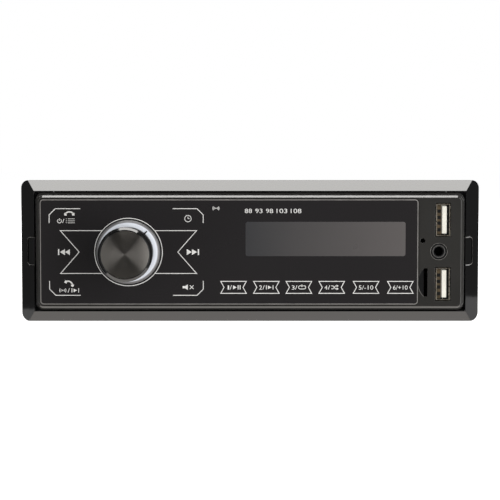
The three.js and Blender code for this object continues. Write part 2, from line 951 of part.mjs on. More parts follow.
part(unit, "card_socket", cardSocket(), materials.nickel, [card.x, 0, card.z]);
part(
  unit,
  "card_carriage",
  plate(
    0,
    0,
    card.cavityThickness - 2 * GAP,
    card.cavityHeight - 2 * GAP,
    carriageBack - card.carriageDepth,
    carriageBack,
  ),
  materials.blackPlastic,
  [card.x, 0, card.z],
);
const cardBoardX = card.x + card.shellThickness / 2 + GAP + card.boardThickness / 2;
part(
  unit,
  "card_board",
  plate(
    0,
    0,
    card.boardThickness,
    card.shellHeight + 2 * card.boardOverhang,
    card.front + GAP,
    card.back,
  ),
  materials.greenBoard,
  [cardBoardX, 0, card.z],
);

// ---------------------------------------------------------------- front board

const link = { x: 24, width: 30, height: 6, reach: 3.5, headerDepth: 8.3 };
link.z = onBoard + link.height / 2;
link.socketBack = frontBoard.back + GAP + link.reach;

function frontCircuitBoard() {
  const { width, height, front, back } = frontBoard;
  const depth = [front - PAST, back + PAST];
  const room = 2 * GAP;
  const usbBottom = usb.z - usb.height / 2 - GAP;
  const cardLeft = card.x - card.shellThickness / 2 - GAP;
  const cardTop = card.z + card.shellHeight / 2 + card.boardOverhang + GAP;
  return cut(
    plate(0, 0, width, height, front, back),
    block([usb.x - usb.width / 2 - GAP, width], depth, [usbBottom, height]),
    plate(aux.x, aux.z, aux.bodySide + room, aux.bodySide + room, ...depth),
    block([cardLeft, width], depth, [-height, cardTop]),
  );
}

part(unit, "front_circuit_board", frontCircuitBoard(), materials.greenBoard);
part(
  unit,
  "link_socket",
  plate(link.x, link.z, link.width, link.height, frontBoard.back + GAP, link.socketBack),
  materials.blackPlastic,
);
part(
  unit,
  "link_header",
  plate(
    link.x,
    link.z,
    link.width,
    link.height,
    link.socketBack + GAP,
    link.socketBack + GAP + link.headerDepth,
  ),
  materials.whitePlastic,
);

// ---------------------------------------------------------------- chassis

const rearInner = chassis.rear - SHEET;
const rearCut = [rearInner - PAST, chassis.rear + PAST];
const socketZ = onBoard + socket.height / 2;
const amplifierZ = onBoard + amplifier.height / 2;
const trayHalf = chassis.width / 2 - SHEET - GAP;
const standOffX = mainBoard.width / 2 - tray.standOffInset;
const standOffYs = [mainBoard.front + tray.standOffInset, mainBoard.back - tray.standOffInset];
const coverScrew = { y: chassis.rear - tray.screwY, z: chassis.bottom + tray.screwZ };
const SCREW = { shank: 1.2, head: 2.7, headHeight: 0.7, hole: 1.5 };
const screwLength = { sink: 5.5, cover: 5, clamp: 8, front: 8 };
const sinkScrewXs = [sink.left + sink.ear / 2, sink.left + sink.width - sink.ear / 2];
const tabScrewZ = chassis.top - coverTab.screwDrop;
const clampScrewX = sink.x + amplifier.barWidth / 2 - amplifier.screwInset;

const sideScrewHoles = solidOf(
  new THREE.CylinderGeometry(SCREW.hole, SCREW.hole, chassis.width + 2 * PAST, 16)
    .rotateZ(Math.PI / 2)
    .translate(0, coverScrew.y, coverScrew.z),
);

function trayRearOpenings() {
  const hole = (x, z) => rod(SCREW.hole, ...rearCut, x, z, 16);
  const chipHole = [amplifier.width, amplifier.height].map((size) => size + 2 * amplifier.roomAround);
  return [
    plate(sink.x, amplifierZ, ...chipHole, ...rearCut),
    plate(socket.x, socketZ, socket.width + 2 * GAP, socket.height + 2 * GAP, ...rearCut),
    rod(antenna.bore + antenna.wall + GAP, ...rearCut, antenna.x, antenna.z),
    ...sinkScrewXs.map((x) => hole(x, 0)),
    ...coverTab.xs.map((x) => hole(x, tabScrewZ)),
    hole(clampScrewX, amplifierZ),
    rod(stud.radius + GAP, ...rearCut, stud.x, stud.z, 20),
  ];
}

function chassisTray() {
  const floor = [chassis.bottom, chassis.bottom + SHEET];
  const bottom = block([-trayHalf, trayHalf], [chassis.front, chassis.rear], floor);
  const rear = block(
    [-trayHalf, trayHalf],
    [rearInner, chassis.rear],
    [chassis.bottom, chassis.top - SHEET - GAP],
  );
  const sides = [-1, 1].map((side) => {
    const x = [side * trayHalf, side * (trayHalf - SHEET)].sort((a, b) => a - b);
    const y = [chassis.front + 2, chassis.rear];
    return block(x, y, [chassis.bottom, chassis.bottom + tray.sideHeight]);
  });
  const standOffs = [-1, 1].flatMap((side) =>
    standOffYs.map((y) =>
      post(tray.standOffRadius, floor[0] + BITE, floor[1] + tray.standOff, side * standOffX, y, 16),
    ),
  );
  return cut(join(bottom, rear, ...sides, ...standOffs), ...trayRearOpenings(), sideScrewHoles);
}

function chassisCover() {
  const { left, right, bottom, top, front, rear } = chassis;
  const inner = chassis.width / 2 - SHEET;
  const slots = Array.from({ length: vents.count }, (_, i) => {
    const x = (i - (vents.count - 1) / 2) * vents.pitch;
    const y1 = rear - vents.fromRear;
    const outline = new THREE.Shape();
    const half = vents.width / 2;
    outline.absarc(x, y1 - half, half, 0, Math.PI);
    outline.absarc(x, y1 - vents.length + half, half, Math.PI, 2 * Math.PI);
    outline.closePath();
    const geometry = new THREE.ExtrudeGeometry(outline, {
      depth: SHEET + 2 * PAST,
      curveSegments: CURVE_STEPS,
      bevelEnabled: false,
    });
    return solidOf(geometry.translate(0, 0, top - SHEET - PAST));
  });
  const tabs = coverTab.xs.map((x) => {
    const [x0, x1] = [x - coverTab.width / 2, x + coverTab.width / 2];
    const [y0, y1] = [rear + GAP, rear + GAP + SHEET];
    return join(
      block([x0, x1], [rear - BITE, y1], [top - SHEET, top]),
      block([x0, x1], [y0, y1], [top - coverTab.drop, top]),
    );
  });
  const tabHoles = coverTab.xs.map((x) => rod(SCREW.hole, rear, rear + 2 * PAST, x, tabScrewZ, 16));
  return cut(
    join(block([left, right], [front, rear], [bottom, top]), ...tabs),
    block([-inner, inner], [front - PAST, rear + BITE], [bottom - PAST, top - SHEET]),
    ...slots,
    ...tabHoles,
    sideScrewHoles,
  );
}

function frontBracket() {
  const half = chassis.height / 2 - SHEET - GAP;
  const y = [chassis.front, chassis.front + SHEET];
  const hole = (side) => rod(bracket.screwHole, y[0] - PAST, y[1] + PAST, side * housing.bossX, 0, 16);
  return cut(
    block([-trayHalf, trayHalf], y, [-half, half]),
    plate(0, 0, bracket.openingWidth, bracket.openingHeight, y[0] - PAST, y[1] + PAST),
    hole(-1),
    hole(1),
  );
}

part(unit, "chassis_tray", chassisTray(), materials.steel);
part(unit, "chassis_cover", chassisCover(), materials.steel);
part(unit, "front_bracket", frontBracket(), materials.steel);

// ---------------------------------------------------------------- main board and what it carries

part(
  unit,
  "main_circuit_board",
  block(
    [-mainBoard.width / 2, mainBoard.width / 2],
    [mainBoard.front, mainBoard.back],
    [mainBoard.bottom, mainBoard.top],
  ),
  materials.greenBoard,
);

const ampBack = chassis.rear - amplifier.backInset;
const ampFront = ampBack - amplifier.thickness;
part(
  unit,
  "amplifier_chip",
  plate(sink.x, amplifierZ, amplifier.width, amplifier.height, ampFront, ampBack),
  materials.blackPlastic,
);
part(
  unit,
  "amplifier_clamp",
  cut(
    plate(
      sink.x,
      amplifierZ,
      amplifier.barWidth,
      amplifier.barHeight,
      ampFront - GAP - amplifier.bar,
      ampFront - GAP,
    ),
    rod(SCREW.hole, ampFront - 5, ampFront, clampScrewX, amplifierZ, 16),
  ),
  materials.steel,
);

const can = { x: -19, width: 30, depth: 20, height: 10 };
const processor = { x: -14, width: 12, depth: 12, height: 1.6 };
const wireless = { x: 26, fromBack: 30.5, width: 22, depth: 14, height: 2.4 };
const supplyCapacitor = { x: 58, radius: 6.3, height: 21 };
const outputCapacitor = { x: 74, radius: 5, height: 16 };
const choke = { x: 60, radius: 7, tube: 3 };
const rowGaps = { processorAndCan: [6, 4, 4], chokeAndCapacitor: [6, 5.7, 8.2] };
const socketFront = chassis.rear - socket.inside;

// The middles of pieces that stand one behind another. The depth that the pieces leave is
// shared out in front of, between and behind them in the ratio of the gaps.
function inRow([front, back], depths, gaps) {
  const total = (values) => values.reduce((sum, value) => sum + value, 0);
  const scale = (back - front - total(depths)) / total(gaps);
  let edge = front;
  return depths.map((depth, i) => {
    const middle = edge + gaps[i] * scale + depth / 2;
    edge = middle + depth / 2;
    return middle;
  });
}

const [processorY, canY] = inRow(
  [mainBoard.front, socketFront],
  [processor.depth, can.depth],
  rowGaps.processorAndCan,
);
const [chokeY, capacitorY] = inRow(
  [mainBoard.front, mainBoard.back],
  [2 * (choke.radius + choke.tube), 2 * supplyCapacitor.radius],
  rowGaps.chokeAndCapacitor,
);

// A block that stands on the main board, with the Y of its middle.
function onMainBoard({ x, width, depth, height }, y) {
  const z = [onBoard, onBoard + height];
  return block([x - width / 2, x + width / 2], [y - depth / 2, y + depth / 2], z);
}

const capacitor = ({ x, radius, height }) => post(radius, onBoard, onBoard + height, x, capacitorY);

function supplyChoke() {
  const ring = new THREE.TorusGeometry(choke.radius, choke.tube, 10, 24);
  return solidOf(ring.translate(choke.x, chokeY, onBoard + choke.tube));
}

part(unit, "tuner_can", onMainBoard(can, canY), materials.steel);
part(
  unit,
  "wireless_module",
  onMainBoard(wireless, mainBoard.back - wireless.fromBack),
  materials.aluminium,
);
part(unit, "processor_chip", onMainBoard(processor, processorY), materials.blackPlastic);
part(unit, "supply_capacitor", capacitor(supplyCapacitor), materials.canBlue);
part(unit, "output_capacitor", capacitor(outputCapacitor), materials.canBlue);
part(unit, "supply_choke", supplyChoke(), materials.copper);

// ---------------------------------------------------------------- heat sink

function heatSink() {
  const { left, width, base, finDepth, finThickness, fins, ear, front, height } = sink;
  const y = [front, front + base, front + base + finDepth];
  const pitch = (width - 2 * ear - finThickness) / (fins - 1);
  const comb = [[left, y[0]], [left, y[1]]];
  for (let i = 0; i < fins; i++) {
    const x = left + ear + i * pitch;
    comb.push([x, y[1]], [x, y[2]], [x + finThickness, y[2]], [x + finThickness, y[1]]);
  }
  comb.push([left + width, y[1]], [left + width, y[0]]);
  const holes = sinkScrewXs.map((x) => rod(SCREW.hole, y[0] - PAST, y[1] + PAST, x, 0, 16));
  const clampHole = rod(SCREW.hole, y[0] - PAST, y[0] + sink.blindHole, clampScrewX, amplifierZ, 16);
  return cut(prismZ(comb, -height / 2, height / 2), ...holes, clampHole);
}

part(unit, "heat_sink", heatSink(), materials.aluminium);

// ---------------------------------------------------------------- rear sockets

const socketBack = chassis.rear + socket.outside;
const plateFront = socketFront + GAP;
const chamberOffset = (socket.cavityHeight + socket.divider) / 2;
const pocketSize = [socket.width, socket.height].map((size) => size - 2 * socket.pocketWall);

function harnessSocket() {
  const pocket = [socketFront - PAST, plateFront + socket.plate + GAP];
  const cavities = [-1, 1].map((side) =>
    plate(
      socket.x,
      socketZ + side * chamberOffset,
      socket.cavityWidth,
      socket.cavityHeight,
      pocket[1] - BITE,
      socketBack + PAST,
    ),
  );
  const { width, height, behindRear } = socket.keyway;
  const keywayY = [chassis.rear + behindRear, socketBack + PAST];
  const keyways = [-1, 1].map((side) =>
    plate(socket.x, socketZ + side * (socket.height / 2), width, height, ...keywayY),
  );
  return cut(
    plate(socket.x, socketZ, socket.width, socket.height, socketFront, socketBack),
    plate(socket.x, socketZ, ...pocketSize, ...pocket),
    ...cavities,
    ...keyways,
  );
}

function harnessPins() {
  const { pinPitchX, pinPitchZ, pinWidth, pinThickness, pinLength } = socket;
  const y = [plateFront, plateFront + socket.plate];
  const pins = [];
  for (const side of [-1, 1]) {
    for (const row of [-0.5, 0.5]) {
      for (const column of [-1.5, -0.5, 0.5, 1.5]) {
        const x = socket.x + column * pinPitchX;
        const z = socketZ + side * chamberOffset + row * pinPitchZ;
        pins.push(plate(x, z, pinWidth, pinThickness, y[1] - BITE, y[1] + pinLength));
      }
    }
  }
  const sizes = pocketSize.map((size) => size - 2 * GAP);
  return join(plate(socket.x, socketZ, ...sizes, ...y), ...pins);
}

function antennaSocket() {
  const { radius, bore, wall, reach, flange, inside } = antenna;
  const base = chassis.rear + GAP;
  return cut(
    join(
      plate(0, 0, flange, flange, base, base + antenna.plate),
      rod(radius, base + antenna.plate - BITE, base + reach),
      rod(bore + wall, chassis.rear - inside, base + BITE),
    ),
    rod(bore, chassis.rear - inside - PAST, base + reach + PAST),
  );
}

function antennaContact() {
  const { bore, inside, contact } = antenna;
  const y0 = chassis.rear - inside + contact.fromEnd;
  const y1 = y0 + contact.length;
  return cut(rod(bore - GAP, y0, y1), rod(contact.bore, y0 - PAST, y1 + PAST, 0, 0, 16));
}

function lineOutSockets() {
  const { x, z, width, height, pitch, reach, radius } = rca;
  const base = chassis.rear + GAP;
  const end = base + rca.plate + reach;
  const xs = [x - pitch / 2, x + pitch / 2];
  const collars = xs.map((middle) => rod(radius, base + rca.plate - BITE, end, middle, z));
  const bores = xs.map((middle) => rod(rca.bore, base + rca.plate, end + PAST, middle, z, 16));
  return cut(join(plate(x, z, width, height, base, base + rca.plate), ...collars), ...bores);
}

part(unit, "harness_socket", harnessSocket(), materials.blackPlastic);
part(unit, "harness_pins", harnessPins(), materials.brass);
part(unit, "antenna_socket", antennaSocket(), materials.nickel, [antenna.x, 0, antenna.z]);
part(unit, "antenna_contact", antennaContact(), materials.whitePlastic, [antenna.x, 0, antenna.z]);
part(unit, "line_out_sockets", lineOutSockets(), materials.blackPlastic);

// ---------------------------------------------------------------- fuse and rear support

const holderFront = chassis.rear + GAP;
const fuseBase = holderFront + fuse.holderFloor;

function fuseHolder() {
  const { x, z, width, height, holderWall, holderDepth } = fuse;
  const inner = [width + 2 * GAP, height + 2 * GAP];
  const outer = inner.map((size) => size + 2 * holderWall);
  return cut(
    plate(x, z, ...outer, holderFront, holderFront + holderDepth),
    plate(x, z, ...inner, fuseBase - GAP, holderFront + holderDepth + PAST),
  );
}

function bladeFuse() {
  const { x, z, width, height, reach, waist } = fuse;
  const end = fuseBase + reach;
  const waistWidth = width - waist.shorter;
  const grip = plate(x, z, width, height, fuseBase, end);
  const waists = [-1, 1].map((side) =>
    plate(x, z + (side * height) / 2, waistWidth, waist.height, end - waist.length, end + PAST),
  );
  return cut(grip, ...waists);
}

const bushFront = chassis.rear + stud.nutEnd + GAP;

function rearStud() {
  const { radius, reach, inside, nutRadius, nutEnd } = stud;
  return join(
    rod(radius, chassis.rear - inside, chassis.rear + reach, 0, 0, 20),
    rod(nutRadius, chassis.rear + GAP, chassis.rear + nutEnd, 0, 0, 6),
    rod(nutRadius, chassis.rear - inside, rearInner - GAP, 0, 0, 6),
  );
}

function studBush() {
  const { radius, bushRadius, bushLength, bushCollar, bushStep, bushEndInset } = stud;
  const bore = radius + GAP;
  return turned(
    [
      [bore, bushFront],
      [bushRadius, bushFront],
      [bushRadius, bushFront + bushCollar],
      [bushRadius - bushStep, bushFront + bushCollar + stud.bushStepLength],
      [bushRadius - bushEndInset, bushFront + bushLength],
      [bore, bushFront + bushLength],
    ],
    24,
  );
}

part(unit, "fuse_holder", fuseHolder(), materials.blackPlastic);
part(unit, "blade_fuse", bladeFuse(), materials.fuseBlue);
part(unit, "rear_stud", rearStud(), materials.steel, [stud.x, 0, stud.z]);
part(unit, "stud_bush", studBush(), materials.rubber, [stud.x, 0, stud.z]);

// ---------------------------------------------------------------- fasteners

// A pan-head screw along Y: its head starts at y = 0 and rises forwards, its shank goes back.
function panScrew(length) {
  const { shank, head, headHeight } = SCREW;
  return join(
    turned(
      [
        [0, -GAP],
        [head, -GAP],
        [head, -GAP - headHeight * 0.5],
        [head * 0.75, -GAP - headHeight],
        [0, -GAP - headHeight],
      ],
      16,
    ),
    rod(shank, -GAP - BITE, length, 0, 0, 12),
  );
}

const BACKWARDS = [0, 0, Math.PI];
const backScrew = (name, x, y, z, length) =>
  part(unit, name, panScrew(length), materials.steel, [x, y, z], BACKWARDS);

const sinkFace = sink.front + sink.base;
sinkScrewXs.forEach((x, i) => backScrew(`heat_sink_screw_${i + 1}`, x, sinkFace, 0, screwLength.sink));
const tabFace = chassis.rear + GAP + SHEET;
coverTab.xs.forEach((x, i) =>
  backScrew(`rear_cover_screw_${i + 1}`, x, tabFace, tabScrewZ, screwLength.cover),
);
part(
  unit,
  "clamp_screw",
  panScrew(screwLength.clamp),
  materials.steel,
  [clampScrewX, ampFront - GAP - amplifier.bar, amplifierZ],
);
for (const [place, side] of [
  ["left", -1],
  ["right", 1],
]) {
  const back = chassis.front + SHEET;
  backScrew(`front_screw_${place}`, side * housing.bossX, back, 0, screwLength.front);
  const position = [side * (chassis.width / 2), coverScrew.y, coverScrew.z];
  const turn = [0, 0, (side * Math.PI) / 2];
  part(unit, `side_cover_screw_${place}`, panScrew(screwLength.cover), materials.steel, position, turn);
}

export default radio;
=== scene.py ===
"""The looks of a single-slot car radio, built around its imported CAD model."""

import json
import math

import bmesh
import bpy
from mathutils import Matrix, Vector

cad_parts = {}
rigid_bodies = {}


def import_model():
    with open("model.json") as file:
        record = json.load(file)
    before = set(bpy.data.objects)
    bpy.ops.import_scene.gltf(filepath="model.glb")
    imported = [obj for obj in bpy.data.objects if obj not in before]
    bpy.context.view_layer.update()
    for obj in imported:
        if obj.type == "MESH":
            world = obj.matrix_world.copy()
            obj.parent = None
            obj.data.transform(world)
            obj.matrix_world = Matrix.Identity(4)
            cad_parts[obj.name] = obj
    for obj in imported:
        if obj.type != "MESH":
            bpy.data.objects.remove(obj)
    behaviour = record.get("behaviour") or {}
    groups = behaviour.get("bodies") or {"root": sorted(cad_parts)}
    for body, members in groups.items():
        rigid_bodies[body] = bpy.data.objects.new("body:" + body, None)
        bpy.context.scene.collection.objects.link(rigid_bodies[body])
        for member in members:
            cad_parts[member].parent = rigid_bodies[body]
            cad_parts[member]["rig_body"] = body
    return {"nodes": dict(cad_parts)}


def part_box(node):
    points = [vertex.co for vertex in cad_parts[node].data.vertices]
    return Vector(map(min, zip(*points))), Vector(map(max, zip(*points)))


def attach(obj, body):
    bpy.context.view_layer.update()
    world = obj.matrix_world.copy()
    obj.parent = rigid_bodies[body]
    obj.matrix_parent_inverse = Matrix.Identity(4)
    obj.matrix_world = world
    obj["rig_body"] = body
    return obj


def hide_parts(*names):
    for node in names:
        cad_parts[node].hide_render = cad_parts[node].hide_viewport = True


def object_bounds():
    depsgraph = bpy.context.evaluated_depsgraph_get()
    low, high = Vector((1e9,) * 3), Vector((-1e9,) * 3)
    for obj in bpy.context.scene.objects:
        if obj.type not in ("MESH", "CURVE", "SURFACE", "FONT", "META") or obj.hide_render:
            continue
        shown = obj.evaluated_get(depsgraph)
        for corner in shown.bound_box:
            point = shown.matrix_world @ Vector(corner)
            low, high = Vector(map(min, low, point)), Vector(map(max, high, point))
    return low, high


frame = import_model()
cad_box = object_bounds()

MM = 0.001
NODES = frame["nodes"]

# ------------------------------------------------------------------ camera

CAMERA_DISTANCE = 650 * MM
CAMERA_HEIGHT = 38.6 * MM
SENSOR = 36
FRAME_WIDTH_AT_DASH = 205.7 * MM  # how much of the dashboard's plane the picture spans

camera_data = bpy.data.cameras.new("camera")
camera_data.sensor_width = SENSOR
camera_data.lens = SENSOR * CAMERA_DISTANCE / FRAME_WIDTH_AT_DASH
camera_data.clip_start = 0.01
camera_data.clip_end = 20
camera = bpy.data.objects.new("camera", camera_data)
camera.location = (0, -CAMERA_DISTANCE, CAMERA_HEIGHT)
camera.rotation_euler = (-Vector(camera.location)).to_track_quat("-Z", "Y").to_euler()
bpy.context.scene.collection.objects.link(camera)
bpy.context.scene.camera = camera
bpy.context.scene.view_settings.view_transform = "Standard"

# ------------------------------------------------------------------ places, from the frame


def size_of(node):
    low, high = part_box(node)
    return high - low


def middle_of(node):
    low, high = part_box(node)
    return (low + high) / 2


LENS_LOW, LENS_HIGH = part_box("lens_panel")
LENS_FACE = LENS_LOW.y
KNOB_X = middle_of("knob_shell").x
KNOB_RADIUS = size_of("knob_shell").x / 2
HOUSING_LOW, HOUSING_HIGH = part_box("front_housing")
HOUSING_FACE = HOUSING_LOW.y
WINDOW_FACE = LENS_FACE - 0.03 * MM
PRINT_FACE = LENS_FACE - 0.05 * MM

# ------------------------------------------------------------------ materials


def srgb(red, green, blue):
    """A colour of 0 to 255 a channel, as a linear RGBA."""

    def linear(value):
        value /= 255
        return value / 12.92 if value <= 0.04045 else ((value + 0.055) / 1.055) ** 2.4

    return (linear(red), linear(green), linear(blue), 1)


class Shader:
    """A node material: a Principled shader and the textures that feed it."""

    def __init__(self, name, color, roughness, metallic=0.0, **sockets):
        self.material = bpy.data.materials.new(name)
        self.material.use_nodes = True
        self.tree = self.material.node_tree
        self.surface = self.tree.nodes["Principled BSDF"]
        self.color = color
        self.roughness = roughness
        self.set("Base Color", color)
        self.set("Roughness", roughness)
        self.set("Metallic", metallic)
        for socket, value in sockets.items():
            self.set(socket.replace("_", " "), value)
        self.place = self.add("ShaderNodeTexCoord").outputs["Object"]

    def set(self, socket, value):
        self.surface.inputs[socket].default_value = value

    def add(self, kind, **values):
        node = self.tree.nodes.new(kind)
        for name, value in values.items():
            setattr(node, name, value)
        return node

    def link(self, source, target):
        self.tree.links.new(source, target)

    def stretched(self, scale):
        """Object coordinates multiplied by a scale for each axis."""
        mapping = self.add("ShaderNodeMapping")
        mapping.inputs["Scale"].default_value = scale
        self.link(self.place, mapping.inputs["Vector"])
        return mapping.outputs["Vector"]

    def noise(self, size, detail=2.0, stretch=(1, 1, 1)):
        """Noise whose features are about size metres across."""
        node = self.add("ShaderNodeTexNoise")
        node.inputs["Scale"].default_value = 1.0
        node.inputs["Detail"].default_value = detail
        self.link(self.stretched([s / size for s in stretch]), node.inputs["Vector"])
        return node.outputs["Fac"]

    def from_axis(self, width):
        """Distance in metres from a round piece's own axis along Y; the piece is width across."""
        coordinates = self.add("ShaderNodeTexCoord")
        centred = self.add("ShaderNodeMapping")
        centred.inputs["Location"].default_value = (-width / 2, 0, -width / 2)
        centred.inputs["Scale"].default_value = (width, 0, width)
        self.link(coordinates.outputs["Generated"], centred.inputs["Vector"])
        length = self.add("ShaderNodeVectorMath", operation="LENGTH")
        self.link(centred.outputs["Vector"], length.inputs[0])
        return length.outputs["Value"]

    def cells(self, size, output="Color"):
        node = self.add("ShaderNodeTexVoronoi")
        node.inputs["Scale"].default_value = 1.0
        self.link(self.stretched([1 / size] * 3), node.inputs["Vector"])
        return node.outputs[output]

    def spread(self, factor, low, high, start=0.3, end=0.7):
        """Maps a factor from start to end onto low to high."""
        node = self.add("ShaderNodeMapRange")
        for socket, value in zip(("From Min", "From Max", "To Min", "To Max"), (start, end, low, high)):
            node.inputs[socket].default_value = value
        self.link(factor, node.inputs["Value"])
        return node.outputs["Result"]

    def vary_roughness(self, factor, low, high):
        self.link(self.spread(factor, low, high), self.surface.inputs["Roughness"])
        return self

    def ramp(self, factor, stops):
        """A colour ramp into the base colour: stops are (position, colour)."""
        node = self.add("ShaderNodeValToRGB")
        elements = node.color_ramp.elements
        while len(elements) < len(stops):
            elements.new(0.5)
        for element, (position, color) in zip(elements, stops):
            element.position = position
            element.color = color
        self.link(factor, node.inputs["Fac"])
        self.link(node.outputs["Color"], self.surface.inputs["Base Color"])
        return self

    def bump(self, factor, height):
        """A bump of a height in metres, under any bump that is already there."""
        node = self.add("ShaderNodeBump")
        node.inputs["Strength"].default_value = 1.0
        node.inputs["Distance"].default_value = height
        self.link(factor, node.inputs["Height"])
        linked = self.surface.inputs["Normal"].links
        if linked:
            self.link(linked[0].from_socket, node.inputs["Normal"])
        self.link(node.outputs["Normal"], self.surface.inputs["Normal"])
        return self


def shades(color, darker, lighter):
    """Two ramp stops round a colour."""
    dark = (*[channel * darker for channel in color[:3]], 1)
    light = (*[channel * lighter for channel in color[:3]], 1)
    return [(0.3, dark), (0.7, light)]


def piano_black():
    shader = Shader("piano_black", srgb(9, 9, 9), 0.07, Coat_Weight=0.3, Coat_Roughness=0.03)
    shader.vary_roughness(shader.noise(18 * MM, 4), 0.03, 0.06)
    return shader.bump(shader.noise(9 * MM, 1), 0.003 * MM)


def housing_black():
    color = srgb(51, 50, 48)
    shader = Shader("housing_black", color, 0.12, IOR=1.6)
    shader.ramp(shader.noise(25 * MM, 3), shades(color, 0.9, 1.1))
    shader.vary_roughness(shader.noise(3 * MM, 4), 0.09, 0.15)
    return shader.bump(shader.noise(0.25 * MM, 2), 0.0004 * MM)


def lens_black():
    color = srgb(40, 38, 39)
    shader = Shader("lens_black", color, 0.06, Coat_Weight=0.5, Coat_Roughness=0.02)
    shader.ramp(shader.noise(90 * MM, 2), shades(color, 0.92, 1.08))
    shader.vary_roughness(shader.noise(14 * MM, 5), 0.05, 0.09)
    return shader


def display_gray():
    """A dark liquid-crystal glass, with painted light that makes it grow lighter to the right."""
    shader = Shader("display_gray", srgb(76, 74, 73), 0.3)
    node = shader.add("ShaderNodeTexCoord").outputs["Generated"]
    parts = shader.add("ShaderNodeSeparateXYZ")
    shader.link(node, parts.inputs["Vector"])
    # Painted light: the glass lightens from left to right.
    stops = [(0.0, srgb(65, 65, 67)), (0.35, srgb(82, 80, 80)), (1.0, srgb(101, 97, 96))]
    shader.ramp(parts.outputs["X"], stops)
    return shader.vary_roughness(shader.noise(12 * MM, 2), 0.27, 0.33)


def print_white():
    color = srgb(236, 235, 232)
    shader = Shader("print_white", color, 0.5)
    # A faint painted glow brightens the print; nothing lights it.
    shader.set("Emission Color", color)
    shader.set("Emission Strength", 0.14)
    return shader.ramp(shader.noise(2.5 * MM, 3), shades(color, 0.86, 1.06))


def outline_gray():
    color = srgb(142, 139, 136)
    shader = Shader("outline_gray", color, 0.35)
    return shader.ramp(shader.noise(7 * MM, 4), shades(color, 0.75, 1.15))


def spun_disc():
    """Metal with concentric turning marks, which stretch highlights into a bow tie."""
    color = srgb(140, 136, 131)
    shader = Shader("spun_disc", color, 0.36, 1.0, Anisotropic=0.97, Anisotropic_Rotation=0.25)
    tangent = shader.add("ShaderNodeTangent", direction_type="RADIAL", axis="Y")
    shader.link(tangent.outputs["Tangent"], shader.surface.inputs["Tangent"])
    rings = shader.add("ShaderNodeTexNoise", noise_dimensions="1D")
    rings.inputs["Scale"].default_value = 1 / (0.16 * MM)
    rings.inputs["Detail"].default_value = 3
    shader.link(shader.from_axis(size_of("knob_disc").x), rings.inputs["W"])
    shader.ramp(rings.outputs["Fac"], shades(color, 0.93, 1.05))
    return shader.vary_roughness(rings.outputs["Fac"], 0.3, 0.34)


def dark_chrome():
    """Black-lacquered metal with a mirror finish."""
    shader = Shader("dark_chrome", srgb(18, 18, 18), 0.1, IOR=1.6)
    return shader.vary_roughness(shader.noise(6 * MM, 4), 0.07, 0.13)


def grip_black():
    color = srgb(20, 20, 20)
    shader = Shader("grip_black", color, 0.62, Specular_IOR_Level=0.25)
    shader.ramp(shader.noise(3 * MM, 3), shades(color, 0.8, 1.2))
    return shader.bump(shader.noise(0.3 * MM, 3), 0.004 * MM)


def milky():
    """Frosted pale plastic, with painted shade: grey over its rounded outer edge and dark where the knob
    shadows it.
    """
    pale, smoked, dark = srgb(228, 232, 240), srgb(116, 115, 116), srgb(46, 45, 45)
    shader = Shader("milky", pale, 0.35)
    half = size_of("light_ring").x / 2
    share = shader.spread(shader.from_axis(2 * half), 0, 1, 0, half)
    # Painted shade: the grey stops darken the rounded outer edge, and the dark stop paints the knob's shadow
    # on the ring.
    stops = [(0.77, dark), (0.8, pale), (0.905, pale), (0.935, smoked), (1, srgb(86, 85, 86))]
    return shader.ramp(share, stops).bump(shader.noise(0.3 * MM, 2), 0.002 * MM)


def milky_film():
    color = srgb(206, 212, 222)
    shader = Shader("milky_film", color, 0.45)
    return shader.ramp(shader.noise(8 * MM, 2), shades(color, 0.94, 1.03))


def black_plastic():
    color = srgb(30, 30, 31)
    shader = Shader("black_plastic", color, 0.5)
    shader.ramp(shader.noise(6 * MM, 3), shades(color, 0.85, 1.15))
    shader.vary_roughness(shader.noise(1.5 * MM, 4), 0.42, 0.58)
    return shader.bump(shader.noise(0.35 * MM, 3), 0.006 * MM)


def scratched_edge():
    # Pale grey that paints a highlight along thin edges and rims; the noise varies its tone at random.
    color = srgb(138, 135, 131)
    shader = Shader("scratched_edge", color, 0.35, 0.2)
    return shader.ramp(shader.noise(2 * MM, 4), shades(color, 0.55, 1.1))


def cream_plastic():
    color = srgb(245, 242, 230)
    shader = Shader("cream_plastic", color, 0.45)
    # A faint painted glow brightens this plastic; nothing lights it.
    shader.set("Emission Color", color)
    shader.set("Emission Strength", 0.14)
    shader.ramp(shader.noise(5 * MM, 3), shades(color, 0.93, 1.02))
    return shader.bump(shader.noise(0.4 * MM, 2), 0.004 * MM)


def galvanised_steel():
    """Zinc-coated sheet: a faint spangle of crystals, and fine rolling marks."""
    color = srgb(178, 180, 179)
    shader = Shader("galvanised_steel", color, 0.38, 1.0)
    value = shader.add("ShaderNodeRGBToBW")
    shader.link(shader.cells(2.2 * MM), value.inputs["Color"])
    shader.ramp(value.outputs["Val"], [(0.1, srgb(170, 172, 172)), (0.9, srgb(184, 186, 185))])
    shader.link(
        shader.spread(value.outputs["Val"], 0.43, 0.51, 0.1, 0.9), shader.surface.inputs["Roughness"]
    )
    return shader.bump(shader.noise(0.5 * MM, 2, (0.05, 1, 1)), 0.0015 * MM)


def anodised_aluminium():
    color = srgb(168, 170, 173)
    shader = Shader("anodised_aluminium", color, 0.42, 1.0)
    lines = shader.noise(0.35 * MM, 3, (1, 1, 0.01))
    shader.ramp(lines, shades(color, 0.82, 1.1))
    shader.vary_roughness(lines, 0.36, 0.5)
    return shader.bump(lines, 0.006 * MM)


def plated(name, color, roughness, tones, cloud, fine, spread, detail=4):
    """Plated metal, clouded in its colour and more finely in its gloss."""
    shader = Shader(name, color, roughness, 1.0)
    shader.ramp(shader.noise(cloud * MM, detail), shades(color, *tones))
    return shader.vary_roughness(shader.noise(fine * MM, detail), *spread)


